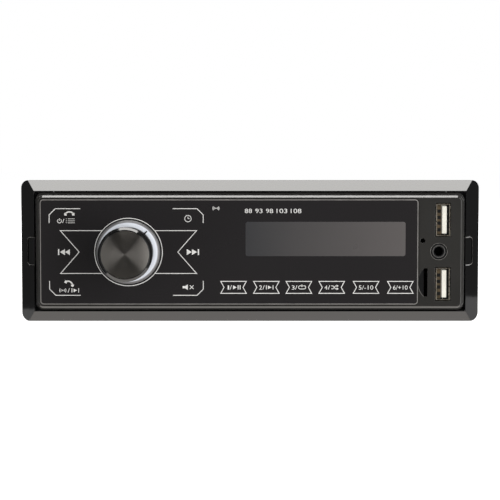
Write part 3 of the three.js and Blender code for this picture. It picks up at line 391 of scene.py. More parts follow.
def nickel_plate():
    tones, gloss = (0.78, 1.08), (0.2, 0.36)
    return plated("nickel_plate", srgb(190, 180, 164), 0.28, tones, 3, 1.2, gloss)


def zinc_screw():
    tones, gloss = (0.8, 1.1), (0.22, 0.4)
    return plated("zinc_screw", srgb(172, 173, 170), 0.3, tones, 2, 0.8, gloss)


def spring_brown():
    color = srgb(112, 97, 74)
    shader = Shader("spring_brown", color, 0.4, 0.35)
    return shader.ramp(shader.noise(1.5 * MM, 3), shades(color, 0.6, 1.15))


def tin_plate():
    tones, gloss = (0.8, 1.1), (0.22, 0.4)
    return plated("tin_plate", srgb(176, 172, 160), 0.3, tones, 1.5, 0.8, gloss, 3)


def green_board():
    """Solder mask, with faint lines of copper under it."""
    color = srgb(26, 84, 48)
    shader = Shader("green_board", color, 0.3)
    tracks = shader.cells(4 * MM, "Distance")
    shader.ramp(tracks, [(0.3, srgb(22, 74, 42)), (0.5, srgb(36, 104, 60))])
    return shader.bump(tracks, 0.03 * MM)


def rubber_black():
    color = srgb(26, 26, 26)
    shader = Shader("rubber_black", color, 0.8)
    shader.ramp(shader.noise(4 * MM, 3), shades(color, 0.8, 1.3))
    return shader.bump(shader.noise(0.5 * MM, 4), 0.02 * MM)


def copper_wire():
    """Turns of enamelled wire round a core."""
    color = srgb(176, 96, 52)
    shader = Shader("copper_wire", color, 0.3, 1.0)
    lines = shader.noise(0.8 * MM, 0, (1, 1, 0.1))
    shader.ramp(lines, shades(color, 0.5, 1.15))
    return shader.bump(lines, 0.2 * MM)


def can_sleeve():
    color = srgb(32, 44, 84)
    shader = Shader("can_sleeve", color, 0.3)
    return shader.ramp(shader.noise(6 * MM, 2), shades(color, 0.85, 1.1))


def fuse_blue():
    color = srgb(38, 112, 214)
    shader = Shader("fuse_blue", color, 0.2, Transmission_Weight=0.35)
    return shader.ramp(shader.noise(5 * MM, 2), shades(color, 0.85, 1.1))


def hole_black():
    # Near-black: the light ring's printed index, and painted shade in holes and recesses.
    color = srgb(5, 5, 5)
    shader = Shader("hole_black", color, 0.9)
    return shader.ramp(shader.noise(3 * MM, 2), shades(color, 0.7, 1.2))


LOOKS = {
    make.__name__: make().material
    for make in (
        piano_black,
        housing_black,
        lens_black,
        display_gray,
        print_white,
        outline_gray,
        spun_disc,
        dark_chrome,
        grip_black,
        spring_brown,
        milky,
        milky_film,
        scratched_edge,
        black_plastic,
        cream_plastic,
        galvanised_steel,
        anodised_aluminium,
        nickel_plate,
        zinc_screw,
        tin_plate,
        green_board,
        rubber_black,
        copper_wire,
        can_sleeve,
        fuse_blue,
        hole_black,
    )
}

# ------------------------------------------------------------------ mesh tools


def place(name, mesh_data, look, body="radio", replaces=()):
    """Puts a mesh in the scene as a piece that rides on a body."""
    piece = bpy.data.objects.new(name, mesh_data)
    bpy.context.scene.collection.objects.link(piece)
    mesh_data.materials.append(LOOKS[look])
    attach(piece, body)
    if replaces:
        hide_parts(*replaces)
    return piece


def finish_mesh(name, mesh, smooth=True, sharp=35):
    """Turns a bmesh into mesh data with smooth faces and sharp edges."""
    bmesh.ops.recalc_face_normals(mesh, faces=mesh.faces)
    for face in mesh.faces:
        face.smooth = smooth
    for edge in mesh.edges:
        if len(edge.link_faces) == 2:
            edge.smooth = edge.calc_face_angle() < math.radians(sharp)
    data = bpy.data.meshes.new(name)
    mesh.to_mesh(data)
    mesh.free()
    return data


def bridge_closed(mesh, rings):
    """Faces between rings of vertices, the last one joined back to the first."""
    for first, second in zip(rings, [*rings[1:], rings[0]]):
        for a, b, c, d in zip(first, [*first[1:], first[0]], [*second[1:], second[0]], second):
            mesh.faces.new([a, b, c, d])


def fill_between(mesh, rings):
    """Triangles between an outer ring of vertices and a hole in it."""
    edges = []
    for ring in rings:
        for pair in zip(ring, [*ring[1:], ring[0]]):
            edges.append(mesh.edges.get(pair) or mesh.edges.new(pair))
    bmesh.ops.triangle_fill(mesh, edges=edges, use_beauty=True)


def weighted(piece):
    """Keeps flat faces flat beside rounded edges."""
    modifier = piece.modifiers.new("normals", "WEIGHTED_NORMAL")
    modifier.keep_sharp = True
    modifier.weight = 90
    return piece


def body_of(node):
    return NODES[node]["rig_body"]


def round_edges(mesh, width, angle, segments=2):
    """Rounds every edge that turns by more than an angle."""
    edges = [
        edge
        for edge in mesh.edges
        if len(edge.link_faces) == 2 and edge.calc_face_angle() > math.radians(angle)
    ]
    bmesh.ops.bevel(
        mesh,
        geom=edges,
        offset=width,
        offset_type="OFFSET",
        segments=segments,
        profile=0.5,
        affect="EDGES",
        clamp_overlap=False,
    )


def refined(node, look, width=0.15, angle=40, merge_flat=True):
    """A copy of a CAD node with clean faces and small rounded edges, in its place."""
    mesh = bmesh.new()
    mesh.from_mesh(NODES[node].data)
    bmesh.ops.remove_doubles(mesh, verts=mesh.verts, dist=1e-6)
    if merge_flat:
        bmesh.ops.dissolve_limit(
            mesh, angle_limit=math.radians(1), verts=mesh.verts, edges=mesh.edges
        )
    round_edges(mesh, width * MM, angle)
    name = f"{node}_rounded"
    data = finish_mesh(name, mesh, sharp=50)
    return weighted(place(name, data, look, body_of(node), [node]))


def turned(name, profile, steps, look, body, centre=(0, 0), replaces=()):
    """A profile of (radius, y) in millimetres, turned about an axis along Y."""
    mesh = bmesh.new()
    rings = []
    for radius, y in profile:
        if radius == 0:
            rings.append([mesh.verts.new((centre[0], y * MM, centre[1]))])
            continue
        ring = []
        for i in range(steps):
            turn = 2 * math.pi * i / steps
            x = centre[0] + radius * MM * math.cos(turn)
            z = centre[1] + radius * MM * math.sin(turn)
            ring.append(mesh.verts.new((x, y * MM, z)))
        rings.append(ring)
    for first, second in zip(rings, [*rings[1:], rings[0]]):
        for i in range(steps):
            j = (i + 1) % steps
            corners = [first[i % len(first)], first[j % len(first)]]
            corners += [second[j % len(second)], second[i % len(second)]]
            unique = list(dict.fromkeys(corners))
            if len(unique) > 2:
                mesh.faces.new(unique)
    piece = place(name, finish_mesh(name, mesh, sharp=30), look, body, replaces)
    return piece


def arc(x, z, radius, start, end, steps):
    """Points along an arc, in degrees."""
    points = []
    for i in range(steps + 1):
        turn = math.radians(start + (end - start) * i / steps)
        points.append((x + radius * math.cos(turn), z + radius * math.sin(turn)))
    return points


def rounded_outline(width, height, radius, x=0.0, z=0.0, steps=8):
    w, h = width / 2 - radius, height / 2 - radius
    return (
        arc(x + w, z + h, radius, 0, 90, steps)
        + arc(x - w, z + h, radius, 90, 180, steps)
        + arc(x - w, z - h, radius, 180, 270, steps)
        + arc(x + w, z - h, radius, 270, 360, steps)
    )


class Artwork:
    """Thin printed shapes on a face that looks forwards, in millimetres."""

    def __init__(self, face):
        self.mesh = bmesh.new()
        self.face = face

    def polygon(self, points):
        corners = [self.mesh.verts.new((x * MM, self.face, z * MM)) for x, z in points]
        face = self.mesh.faces.new(corners)
        face.normal_update()
        if face.normal.y > 0:
            face.normal_flip()

    def stroke(self, points, width, closed=False):
        """A line of even width with mitred corners."""
        count = len(points)
        pairs = []
        for i, (x, z) in enumerate(points):
            here = Vector((x, z))
            before = Vector(points[i - 1]) if i or closed else None
            after = Vector(points[(i + 1) % count]) if i < count - 1 or closed else None
            first = (here - before).normalized() if before else None
            second = (after - here).normalized() if after else None
            first, second = first or second, second or first
            along = (first + second).normalized()
            side = Vector((-along.y, along.x))
            reach = width / 2 / max(0.35, side.dot(Vector((-first.y, first.x))))
            pairs.append((here + side * reach, here - side * reach))
        ends = [*pairs, pairs[0]] if closed else pairs
        for (a, b), (c, d) in zip(ends, ends[1:]):
            self.polygon([a, b, d, c])

    def disc(self, x, z, radius, steps=20):
        self.polygon(arc(x, z, radius, 0, 360 - 360 / steps, steps - 1))

    def text(self, words, left, right, middle, height, weight=0.0):
        """A line of text between two X values, its capitals as tall as height."""
        curve = bpy.data.curves.new("words", "FONT")
        curve.body = words
        curve.offset = weight
        curve.resolution_u = 3
        holder = bpy.data.objects.new("words", curve)
        bpy.context.scene.collection.objects.link(holder)
        bpy.context.view_layer.update()
        graph = bpy.context.evaluated_depsgraph_get()
        flat = bpy.data.meshes.new_from_object(holder.evaluated_get(graph))
        xs = [vertex.co.x for vertex in flat.vertices]
        capital = 0.73  # the built-in font's capital height
        for vertex in flat.vertices:
            share = (vertex.co.x - min(xs)) / (max(xs) - min(xs))
            x = left + (right - left) * share
            z = middle + (vertex.co.y / capital - 0.5) * height
            vertex.co = (x * MM, self.face, z * MM)
        first = len(self.mesh.faces)
        self.mesh.from_mesh(flat)
        self.mesh.faces.ensure_lookup_table()
        for face in self.mesh.faces[first:]:
            face.normal_update()
            if face.normal.y > 0:
                face.normal_flip()
        bpy.data.objects.remove(holder)
        bpy.data.meshes.remove(flat)

    def piece(self, name, look, slot=None, replaces=(), body="radio"):
        data = bpy.data.meshes.new(name)
        self.mesh.to_mesh(data)
        self.mesh.free()
        return place(name, data, look, body, replaces)


def slab(name, outline, y0, y1, look, body="radio", replaces=(), edge=0.0):
    """An outline extruded from y0 forwards to y1, with a rounded front edge."""
    mesh = bmesh.new()
    corners = [mesh.verts.new((x * MM, y0, z * MM)) for x, z in outline]
    face = mesh.faces.new(corners)
    made = bmesh.ops.extrude_face_region(mesh, geom=[face])["geom"]
    moved = [item for item in made if isinstance(item, bmesh.types.BMVert)]
    bmesh.ops.translate(mesh, verts=moved, vec=(0, y1 - y0, 0))
    if edge:
        rim = [e for e in mesh.edges if all(abs(v.co.y - y1) < 1e-7 for v in e.verts)]
        bmesh.ops.bevel(
            mesh, geom=rim, offset=edge * MM, segments=3, profile=0.5, affect="EDGES"
        )
    return weighted(place(name, finish_mesh(name, mesh, sharp=40), look, body, replaces))


# ------------------------------------------------------------------ front: trim and housing

TRIM_LOW, TRIM_HIGH = (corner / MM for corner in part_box("trim_ring"))
TRIM = {
    "gap_x": 0.6,
    "gap_z": 0.45,
    "top_drop": 4,
    "side_drop": 8.25,
    "pocket_x": 1.3,
    "pocket_z": 1.1,
    "pocket_depth": 1.2,
    "notch_half": 5.5,
    "notch_reach": 3.4,
    "notch_corner": 1.2,
    "notch_floor": 0.7,
    "notch_line": 0.2,
    "lip": 0.35,
    "edge": 0.08,
}


def notch_floor(side, points):
    """The glossy bottom of a key notch, sloped like the bevel round it."""
    mesh = bmesh.new()
    mesh.faces.new([mesh.verts.new([value * MM for value in point]) for point in points])
    name = f"key_notch_floor_{side}"
    place(name, finish_mesh(name, mesh), "piano_black", "radio")


def notch_edge(side, points):
    """A thin painted highlight along the mouth of a key notch."""
    mesh = bmesh.new()
    middle = Vector((sum(p[0] for p in points), 0, sum(p[2] for p in points))) / len(points)
    rows = []
    for point in points:
        out = Vector((point[0], 0, point[2])) - middle
        shift = out.normalized() * TRIM["notch_line"]
        slope = TRIM["side_drop"] / (TRIM_HIGH.x - HOUSING_HIGH.x / MM - TRIM["gap_x"])
        shift.y = abs(shift.x) * slope
        rows.append([mesh.verts.new(list((Vector(point) + shift * k) * MM)) for k in (0, 1)])
    for (a, b), (c, d) in zip(rows, rows[1:]):
        mesh.faces.new([a, b, d, c])
    name = f"key_notch_highlight_{side}"
    place(name, finish_mesh(name, mesh), "scratched_edge", "radio")


def trim_ring():
    """A frame of four flat bevels; the steep side ones wrap the outer corners."""
    inner_x = HOUSING_HIGH.x / MM + TRIM["gap_x"]
    inner_z = HOUSING_HIGH.z / MM + TRIM["gap_z"]
    outer_x, outer_z, front = TRIM_HIGH.x, TRIM_HIGH.z, TRIM_LOW.y
    top_slope = TRIM["top_drop"] / (outer_z - inner_z)
    side_slope = TRIM["side_drop"] / (outer_x - inner_x)
    mitre_x = inner_x + (outer_z - inner_z) * top_slope / side_slope
    corner = outer_x - mitre_x
    notch_x = inner_x + TRIM["notch_reach"]
    mesh = bmesh.new()
    made = {}

    def vertex(x, y, z):
        key = (round(x, 4), round(y, 4), round(z, 4))
        if key not in made:
            made[key] = mesh.verts.new((x * MM, y * MM, z * MM))
        return made[key]

    def bevel_y(x, z):
        slopes = (top_slope * (abs(z) - inner_z), side_slope * (abs(x) - inner_x), 0)
        return front + max(slopes)

    def side_outer(side):
        upper = arc(mitre_x, outer_z - corner, corner, 90, 0, 10)
        lower = arc(mitre_x, corner - outer_z, corner, 0, -90, 10)
        return [(side * x, z) for x, z in upper + lower]

    def side_inner(side):
        half, round_by = TRIM["notch_half"], TRIM["notch_corner"]
        lower = arc(notch_x - round_by, round_by - half, round_by, -90, 0, 6)
        upper = arc(notch_x - round_by, half - round_by, round_by, 0, 90, 6)
        ends = [(inner_x, -half), *lower, *upper, (inner_x, half)]
        return [(side * x, z) for x, z in [(inner_x, -inner_z), *ends, (inner_x, inner_z)]]

    for side in (-1, 1):
        mesh.faces.new([vertex(x, bevel_y(x, z), z) for x, z in side_outer(side) + side_inner(side)])
        level = side * inner_z
        across = [(-inner_x, level), (inner_x, level), (mitre_x, side * outer_z), (-mitre_x, side * outer_z)]
        mesh.faces.new([vertex(x, bevel_y(x, z), z) for x, z in across])
    outer = side_outer(1) + side_outer(-1)[::-1]
    inner = side_inner(1)[::-1] + side_inner(-1)
    pocket_x, pocket_z = outer_x - TRIM["pocket_x"], outer_z - TRIM["pocket_z"]
    pocket = [(pocket_x, pocket_z), (pocket_x, -pocket_z), (-pocket_x, -pocket_z), (-pocket_x, pocket_z)]
    back, floor_y = TRIM_HIGH.y, -TRIM["pocket_depth"]

    def wall(outline, y_of_first, y_of_second):
        for (x0, z0), (x1, z1) in zip(outline, [*outline[1:], outline[0]]):
            corners = [(x0, y_of_first(x0, z0), z0), (x1, y_of_first(x1, z1), z1)]
            corners += [(x1, y_of_second(x1, z1), z1), (x0, y_of_second(x0, z0), z0)]
            unique = list(dict.fromkeys(vertex(*c) for c in corners))
            if len(unique) > 2 and not mesh.faces.get(unique):
                mesh.faces.new(unique)

    def level(y):
        return lambda x, z: y

    wall(outer, bevel_y, level(back))
    wall(inner, bevel_y, level(floor_y))
    wall(pocket, level(back), level(floor_y))
    for ring, y in ((outer, back), (inner, floor_y)):
        fill_between(mesh, [[vertex(x, y, z) for x, z in outline] for outline in (ring, pocket)])
    bmesh.ops.recalc_face_normals(mesh, faces=mesh.faces)
    lip = []
    for (x0, z0), (x1, z1) in zip(inner, [*inner[1:], inner[0]]):
        lip.append(mesh.edges.get((vertex(x0, bevel_y(x0, z0), z0), vertex(x1, bevel_y(x1, z1), z1))))
    bmesh.ops.bevel(mesh, geom=lip, offset=TRIM["lip"] * MM, segments=1, affect="EDGES")
    round_edges(mesh, TRIM["edge"] * MM, 55)
    data = finish_mesh("trim_ring_bevelled", mesh, sharp=30)
    weighted(place("trim_ring_bevelled", data, "piano_black", "radio", ["trim_ring"]))
    for side, name in ((-1, "left"), (1, "right")):
        edge = side_inner(side)[1:-1]
        notch_floor(name, [(x, bevel_y(x, z) + TRIM["notch_floor"], z) for x, z in edge])
        notch_edge(name, [(x, bevel_y(x, z) - 0.03, z) for x, z in edge])


trim_ring()

refined("front_housing", "housing_black", 0.1, 40, merge_flat=False)

# ------------------------------------------------------------------ front: lens panel

LENS_CENTRE = (LENS_LOW + LENS_HIGH) / 2 / MM
LENS_SIZE = (LENS_HIGH - LENS_LOW) / MM
LENS_CORNER = 1.2
lens_outline = rounded_outline(LENS_SIZE.x, LENS_SIZE.z, LENS_CORNER, LENS_CENTRE.x, 0)


def lens_with_hole():
    """The panel's plate, with a round hole for the light ring, bridged by faces round it."""
    hole_radius = size_of("light_ring").x / 2 / MM + 0.3
    mesh = bmesh.new()
    steps = 96
    back, front = LENS_HIGH.y, LENS_FACE
    edge = 0.25
    rings = []
    levels = [(0, back), (0, front + edge * MM), (edge * 0.3, front + edge * 0.3 * MM), (edge, front)]
    for inset, y in levels:
        outline = rounded_outline(
            LENS_SIZE.x - 2 * inset,
            LENS_SIZE.z - 2 * inset,
            LENS_CORNER - inset,
            LENS_CENTRE.x,
            0,
        )
        rings.append([mesh.verts.new((x * MM, y, z * MM)) for x, z in outline])
    for first, second in zip(rings, rings[1:]):
        for i in range(len(first)):
            j = (i + 1) % len(first)
            mesh.faces.new([first[i], first[j], second[j], second[i]])
    holes = []
    for y in (front, back):
        circle = arc(KNOB_X / MM, 0, hole_radius, 0, 360 - 360 / steps, steps - 1)
        holes.append([mesh.verts.new((x * MM, y, z * MM)) for x, z in circle])
    for i in range(steps):
        j = (i + 1) % steps
        mesh.faces.new([holes[0][i], holes[0][j], holes[1][j], holes[1][i]])
    for outer, hole in ((rings[-1], holes[0]), (rings[0], holes[1])):
        fill_between(mesh, (outer, hole))
    return finish_mesh("lens_panel_glossy", mesh, sharp=50)


weighted(place("lens_panel_glossy", lens_with_hole(), "lens_black", "radio", ["lens_panel"]))

edging = Artwork(WINDOW_FACE)
edging.stroke(
    rounded_outline(LENS_SIZE.x - 0.1, LENS_SIZE.z - 0.1, LENS_CORNER, LENS_CENTRE.x, 0),
    0.38,
    closed=True,
)
edging.piece("lens_outline", "outline_gray")

# ------------------------------------------------------------------ front: printed keys

LINE = 0.3
KNOB = KNOB_X / MM
CIRCLE = 13.65  # the printed circle round the knob
PRINT = KNOB + 0.1  # the middle of the printing round the knob


def corner_brackets(art):
    """Four open corners round the knob's keys."""
    for side in (-1, 1):
        for up in (-1, 1):
            far, near = (-31.9, -19.4) if side < 0 else (30.15, 17.9)
            points = [
                (PRINT + far, up * 11.7),
                (PRINT + far, up * 15.0),
                (PRINT + far - math.copysign(2.5, far), up * 17.5),
                (PRINT + near, up * 17.5),
            ]
            art.stroke(points, LINE)


def ribbons(art):
    """Two notched ribbons that run into the circle round the knob."""
    height = 8.65
    meet = math.sqrt(CIRCLE**2 - height**2)
    for side in (-1, 1):
        points = [
            (PRINT + side * meet, height),
            (PRINT + side * 27.45, height),
            (PRINT + side * 19.9, 0),
            (PRINT + side * 27.45, -height),
            (PRINT + side * meet, -height),
        ]
        art.stroke(points, LINE)
    art.stroke(arc(PRINT, 0, CIRCLE, 0, 360 - 360 / 96, 95), LINE, closed=True)


def skip_arrows(art, left, width, height, forwards):
    """Two triangles and a bar."""
    bar = 0.5
    step = (width - bar - 0.3) / 2
    for i in range(2):
        if forwards:
            tail = left + i * step
            points = [(tail, height / 2), (tail + step, 0), (tail, -height / 2)]
        else:
            tip = left + bar + 0.3 + i * step
            points = [(tip, 0), (tip + step, height / 2), (tip + step, -height / 2)]
        art.polygon(points)
    x = left + width - bar / 2 if forwards else left + bar / 2
    art.stroke([(x, -height / 2), (x, height / 2)], bar)


def handset(art, x, z, width, drop, tilt=0.0):
    """A telephone handset: an arch with two thick ends."""
    radius = width * 0.62
    half = math.degrees(math.asin(width / 2 / radius * 0.92))
    points = arc(0, -radius, radius, 90 + half, 90 - half, 12)
    turn = math.radians(tilt)

    def moved(px, pz):
        return (
            x + px * math.cos(turn) - pz * math.sin(turn),
            z + px * math.sin(turn) + pz * math.cos(turn),
        )

    art.stroke([moved(*point) for point in points], 0.55)
    for px, pz in (points[0], points[-1]):
        corners = ((-0.5, 0.3), (0.5, 0.3), (0.5, -drop), (-0.5, -drop))
        art.polygon([moved(px + dx, pz + dz) for dx, dz in corners])


def power_mark(art, x, z, radius):
    """An open circle with a stroke at its gap."""
    art.stroke(arc(x, z, radius, 125, 415, 24), 0.26)
    art.stroke([(x, z + 0.1), (x, z + radius + 0.25)], 0.26)


def key_frames(art):
    """Six keys along the bottom: a frame with a notch at each end."""
    width, height, notch = 10.35, 4.85, 1.35
    centre_z = -14.28
    right = LENS_HIGH.x / MM
    for offset in (74.35, 61.1, 47.95, 34.7, 20.85, 7.0):
        x = right - offset
        w, h = width / 2, height / 2
        points = [
            (x - w, centre_z + h),
            (x + w, centre_z + h),
            (x + w - notch, centre_z),
            (x + w, centre_z - h),
            (x - w, centre_z - h),
            (x - w + notch, centre_z),
        ]
        art.stroke(points, LINE, closed=True)
        yield x, centre_z


def clock_mark(art, x, z, radius):
    art.stroke(arc(x, z, radius, 0, 345, 23), 0.26, closed=True)
    art.stroke([(x, z + radius * 0.6), (x, z), (x + radius * 0.5, z)], 0.26)


def muted_speaker(art, x, z):
    """A loudspeaker with a cross beside it."""
    art.polygon([(x - 2.2, z + 0.45), (x - 1.2, z + 0.45), (x - 1.2, z - 0.45), (x - 2.2, z - 0.45)])
    art.polygon([(x - 1.2, z + 0.45), (x - 0.1, z + 1.15), (x - 0.1, z - 1.15), (x - 1.2, z - 0.45)])
    for slope in (-1, 1):
        art.stroke([(x + 0.7, z - 0.75 * slope), (x + 2.2, z + 0.75 * slope)], 0.3)


def waves(art, x, z, radii):
    """A dot with arcs on both sides, for what is received."""
    art.disc(x, z, 0.26)
    for radius in radii:
        for middle in (0, 180):
            art.stroke(arc(x, z, radius, middle - 36, middle + 36, 8), 0.24)


def source_bars(art, left, z, width):
    """Three rows of a list, each with its dot."""
    for row in (-0.8, 0, 0.8):
        art.disc(left + 0.2, z + row, 0.17, 10)
        art.stroke([(left + 0.8, z + row), (left + width, z + row)], 0.2)


def slash(art, x, z):
    art.stroke([(x - 0.3, z - 0.85), (x + 0.3, z + 0.85)], 0.24)


def play_pause(art, x, z):
    art.polygon([(x, z + 0.85), (x + 1.45, z), (x, z - 0.85)])
    for bar in (2.05, 2.85):
        art.stroke([(x + bar, z - 0.85), (x + bar, z + 0.85)], 0.36)


def scan_mark(art, x, z):
    """A triangle that plays a short stretch between two bars."""
    for bar in (0.2, 2.9):
        art.stroke([(x + bar, z - 0.85), (x + bar, z + 0.85)], 0.32)
    art.polygon([(x + 0.85, z + 0.75), (x + 2.3, z), (x + 0.85, z - 0.75)])


def repeat_mark(art, x, z):
    """A closed loop with an arrowhead."""
    art.stroke(rounded_outline(2.9, 1.3, 0.62, x + 1.5, z, 4), 0.28, closed=True)
    art.polygon([(x + 1.2, z + 1.2), (x + 2.1, z + 0.62), (x + 1.2, z + 0.05)])


def shuffle_mark(art, x, z):
    """Two crossing paths with arrowheads."""
    for up in (-1, 1):
        start, end = z - 0.6 * up, z + 0.6 * up
        art.stroke([(x, start), (x + 0.7, start), (x + 1.7, end), (x + 2.3, end)], 0.28)
        art.polygon([(x + 2.2, end + 0.5), (x + 3.0, end), (x + 2.2, end - 0.5)])


def key_labels(art, centres):
    """A number on each key, and a sign for what it does."""
    signs = [play_pause, scan_mark, repeat_mark, shuffle_mark]
    cap = 1.8
    for number, (x, z) in enumerate(centres, 1):
        if number <= len(signs):
            digit = 0.6 if number == 1 else 1.15
            art.text(str(number), x - 1.75 - digit, x - 1.75, z, cap, 0)
            slash(art, x - 1.1, z)
            signs[number - 1](art, x - 0.2, z)
        else:
            step = "-10" if number == 5 else "+10"
            art.text(f"{number}/{step}", x - 2.95, x + 2.95, z, cap, 0)


def tuning_scale(art, left, right, z, height):
    """Numbers of a tuning dial in one line."""
    numbers = [88, 93, 98, 103, 108]
    digits = sum(len(str(number)) for number in numbers)
    gap = 1.4
    digit = (right - left - gap * (len(numbers) - 1)) / digits
    x = left
    for number in numbers:
        width = digit * len(str(number))
        art.text(str(number), x, x + width, z, height, 0)
        x += width + gap


def panel_print():
    art = Artwork(PRINT_FACE)
    corner_brackets(art)
    ribbons(art)
    skip_arrows(art, PRINT - 28.4, 4.75, 2.4, forwards=False)
    skip_arrows(art, PRINT + 23.5, 4.95, 2.4, forwards=True)
    handset(art, PRINT - 23.75, 16.2, 3.4, 0.75)
    handset(art, PRINT - 23.6, -12.0, 3.3, 0.7, tilt=-28)
    power_mark(art, PRINT - 27.75, 12.55, 0.8)
    slash(art, PRINT - 26.2, 12.6)
    source_bars(art, PRINT - 25.2, 12.6, 3.6)
    waves(art, PRINT - 26.6, -15.5, (0.75, 1.3))
    slash(art, PRINT - 24.2, -15.5)
    scan_mark(art, PRINT - 23.1, -15.5)
    clock_mark(art, PRINT + 24.0, 13.5, 1.3)
    muted_speaker(art, PRINT + 24.0, -14.2)
    waves(art, PRINT + 35.3, 17.65, (0.75, 1.25))
    tuning_scale(art, KNOB + 47.0, KNOB + 69.8, 16.65, 1.85)
    key_labels(art, list(key_frames(art)))
    art.piece("panel_print", "print_white")


panel_print()

def display_window():
    """The smoked window over the display, flush in the panel."""
    width, height = 64.5, 13.85
    right = LENS_HIGH.x / MM - 5
    top = LENS_HIGH.z / MM - 8.9
    outline = rounded_outline(width, height, 0.9, right - width / 2, top - height / 2)
    art = Artwork(WINDOW_FACE)
    art.polygon(outline)
    art.piece("display_window", "display_gray")


display_window()

# ------------------------------------------------------------------ front: knob and light ring

RING_LOW, RING_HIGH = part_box("light_ring")
RING = size_of("light_ring").x / 2 / MM
LENS_Y = LENS_FACE / MM

turned(
    "light_ring_smooth",
    [
        (8.6, RING_HIGH.y / MM),
        (RING, RING_HIGH.y / MM),
        (RING, LENS_Y - 0.25),
        (RING - 0.1, LENS_Y - 0.5),
        (RING - 0.35, LENS_Y - 0.8),
        (RING - 0.85, LENS_Y - 1.15),
        (RING - 1.5, LENS_Y - 1.45),
        (RING - 2.5, LENS_Y - 1.75),
        (9.2, LENS_Y - 1.9),
        (8.75, LENS_Y - 1.85),
        (8.6, LENS_Y - 1.6),
    ],
    128,
    "milky",
    "radio",
    (KNOB_X, 0),
    ["light_ring"],
)

SHELL_LOW, SHELL_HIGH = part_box("knob_shell")
FACE_Y = SHELL_LOW.y / MM
REAR_Y = SHELL_HIGH.y / MM
R = KNOB_RADIUS / MM

GRIP_FRONT = FACE_Y + 1.3  # the polished chamfer ends and the knurled grip begins

turned(
    "knob_shell_polished",
    [
        (R - 0.9, GRIP_FRONT + 0.4),
        (R - 0.35, GRIP_FRONT + 0.4),
        (R - 0.3, GRIP_FRONT + 0.1),
        (R - 0.03, GRIP_FRONT),
        (R, FACE_Y + 1.12),
        (R - 0.03, FACE_Y + 1.03),
        (R - 0.08, FACE_Y + 0.98),
        (R - 0.93, FACE_Y + 0.13),
        (R - 0.98, FACE_Y + 0.08),
        (R - 1.05, FACE_Y + 0.04),
        (R - 1.1, FACE_Y + 0.1),
        (R - 1.1, FACE_Y + 1.0),
        (0, FACE_Y + 1.0),
        (0, FACE_Y + 2.0),
        (R - 1.4, FACE_Y + 2.0),
    ],
    160,
    "dark_chrome",
    "knob",
    (KNOB_X, 0),
    ["knob_shell"],
)


def knob_grip():
    """The side of the knob: fine ridges along its axis, on a slightly tapered sleeve."""
    ridges, depth, taper, wall = 90, 0.14, 1.05, 0.7
    levels = [
        (GRIP_FRONT + 0.12, -0.2, 0),
        (GRIP_FRONT + 0.35, 0, 0.05),
        (REAR_Y - 0.5, 0, 0.97),
        (REAR_Y, -0.3, 1),
        (REAR_Y, -wall, 1),
        (GRIP_FRONT + 0.45, -wall, 0.05),
    ]
    mesh = bmesh.new()
    rings = []
    for y, offset, share in levels:
        ring = []
        for i in range(4 * ridges):
            turn = 2 * math.pi * i / (4 * ridges)
            groove = depth * (0.5 - 0.5 * math.cos(turn * ridges)) if offset == 0 else 0
            radius = R - 0.05 + offset - taper * share - groove
            x, z = KNOB + radius * math.cos(turn), radius * math.sin(turn)
            ring.append(mesh.verts.new((x * MM, y * MM, z * MM)))
        rings.append(ring)
    bridge_closed(mesh, rings)
    data = finish_mesh("knob_grip_ridged", mesh, sharp=50)
    place("knob_grip_ridged", data, "grip_black", "knob")


knob_grip()

DISC = size_of("knob_disc").x / 2 / MM

turned(
    "knob_disc_spun",
    [
        (0, FACE_Y + 0.04),
        (DISC * 0.5, FACE_Y + 0.04),
        (DISC - 0.12, FACE_Y + 0.04),
        (DISC - 0.03, FACE_Y + 0.08),
        (DISC, FACE_Y + 0.16),
        (DISC, FACE_Y + 0.7),
        (0, FACE_Y + 0.7),
    ],
    160,
    "spun_disc",
    "knob",
    (KNOB_X, 0),
    ["knob_disc"],
)


def ring_tick():
    """The small dark index on the light ring."""
    turn = math.radians(48)
    art = Artwork(LENS_FACE - 2.0 * MM)
    along = Vector((math.cos(turn), math.sin(turn)))
    start = Vector((KNOB, 0)) + along * 10.0
    art.stroke([start, start + along * 1.5], 0.5)
    art.piece("light_ring_tick", "hole_black")


ring_tick()


# ------------------------------------------------------------------ front: sockets


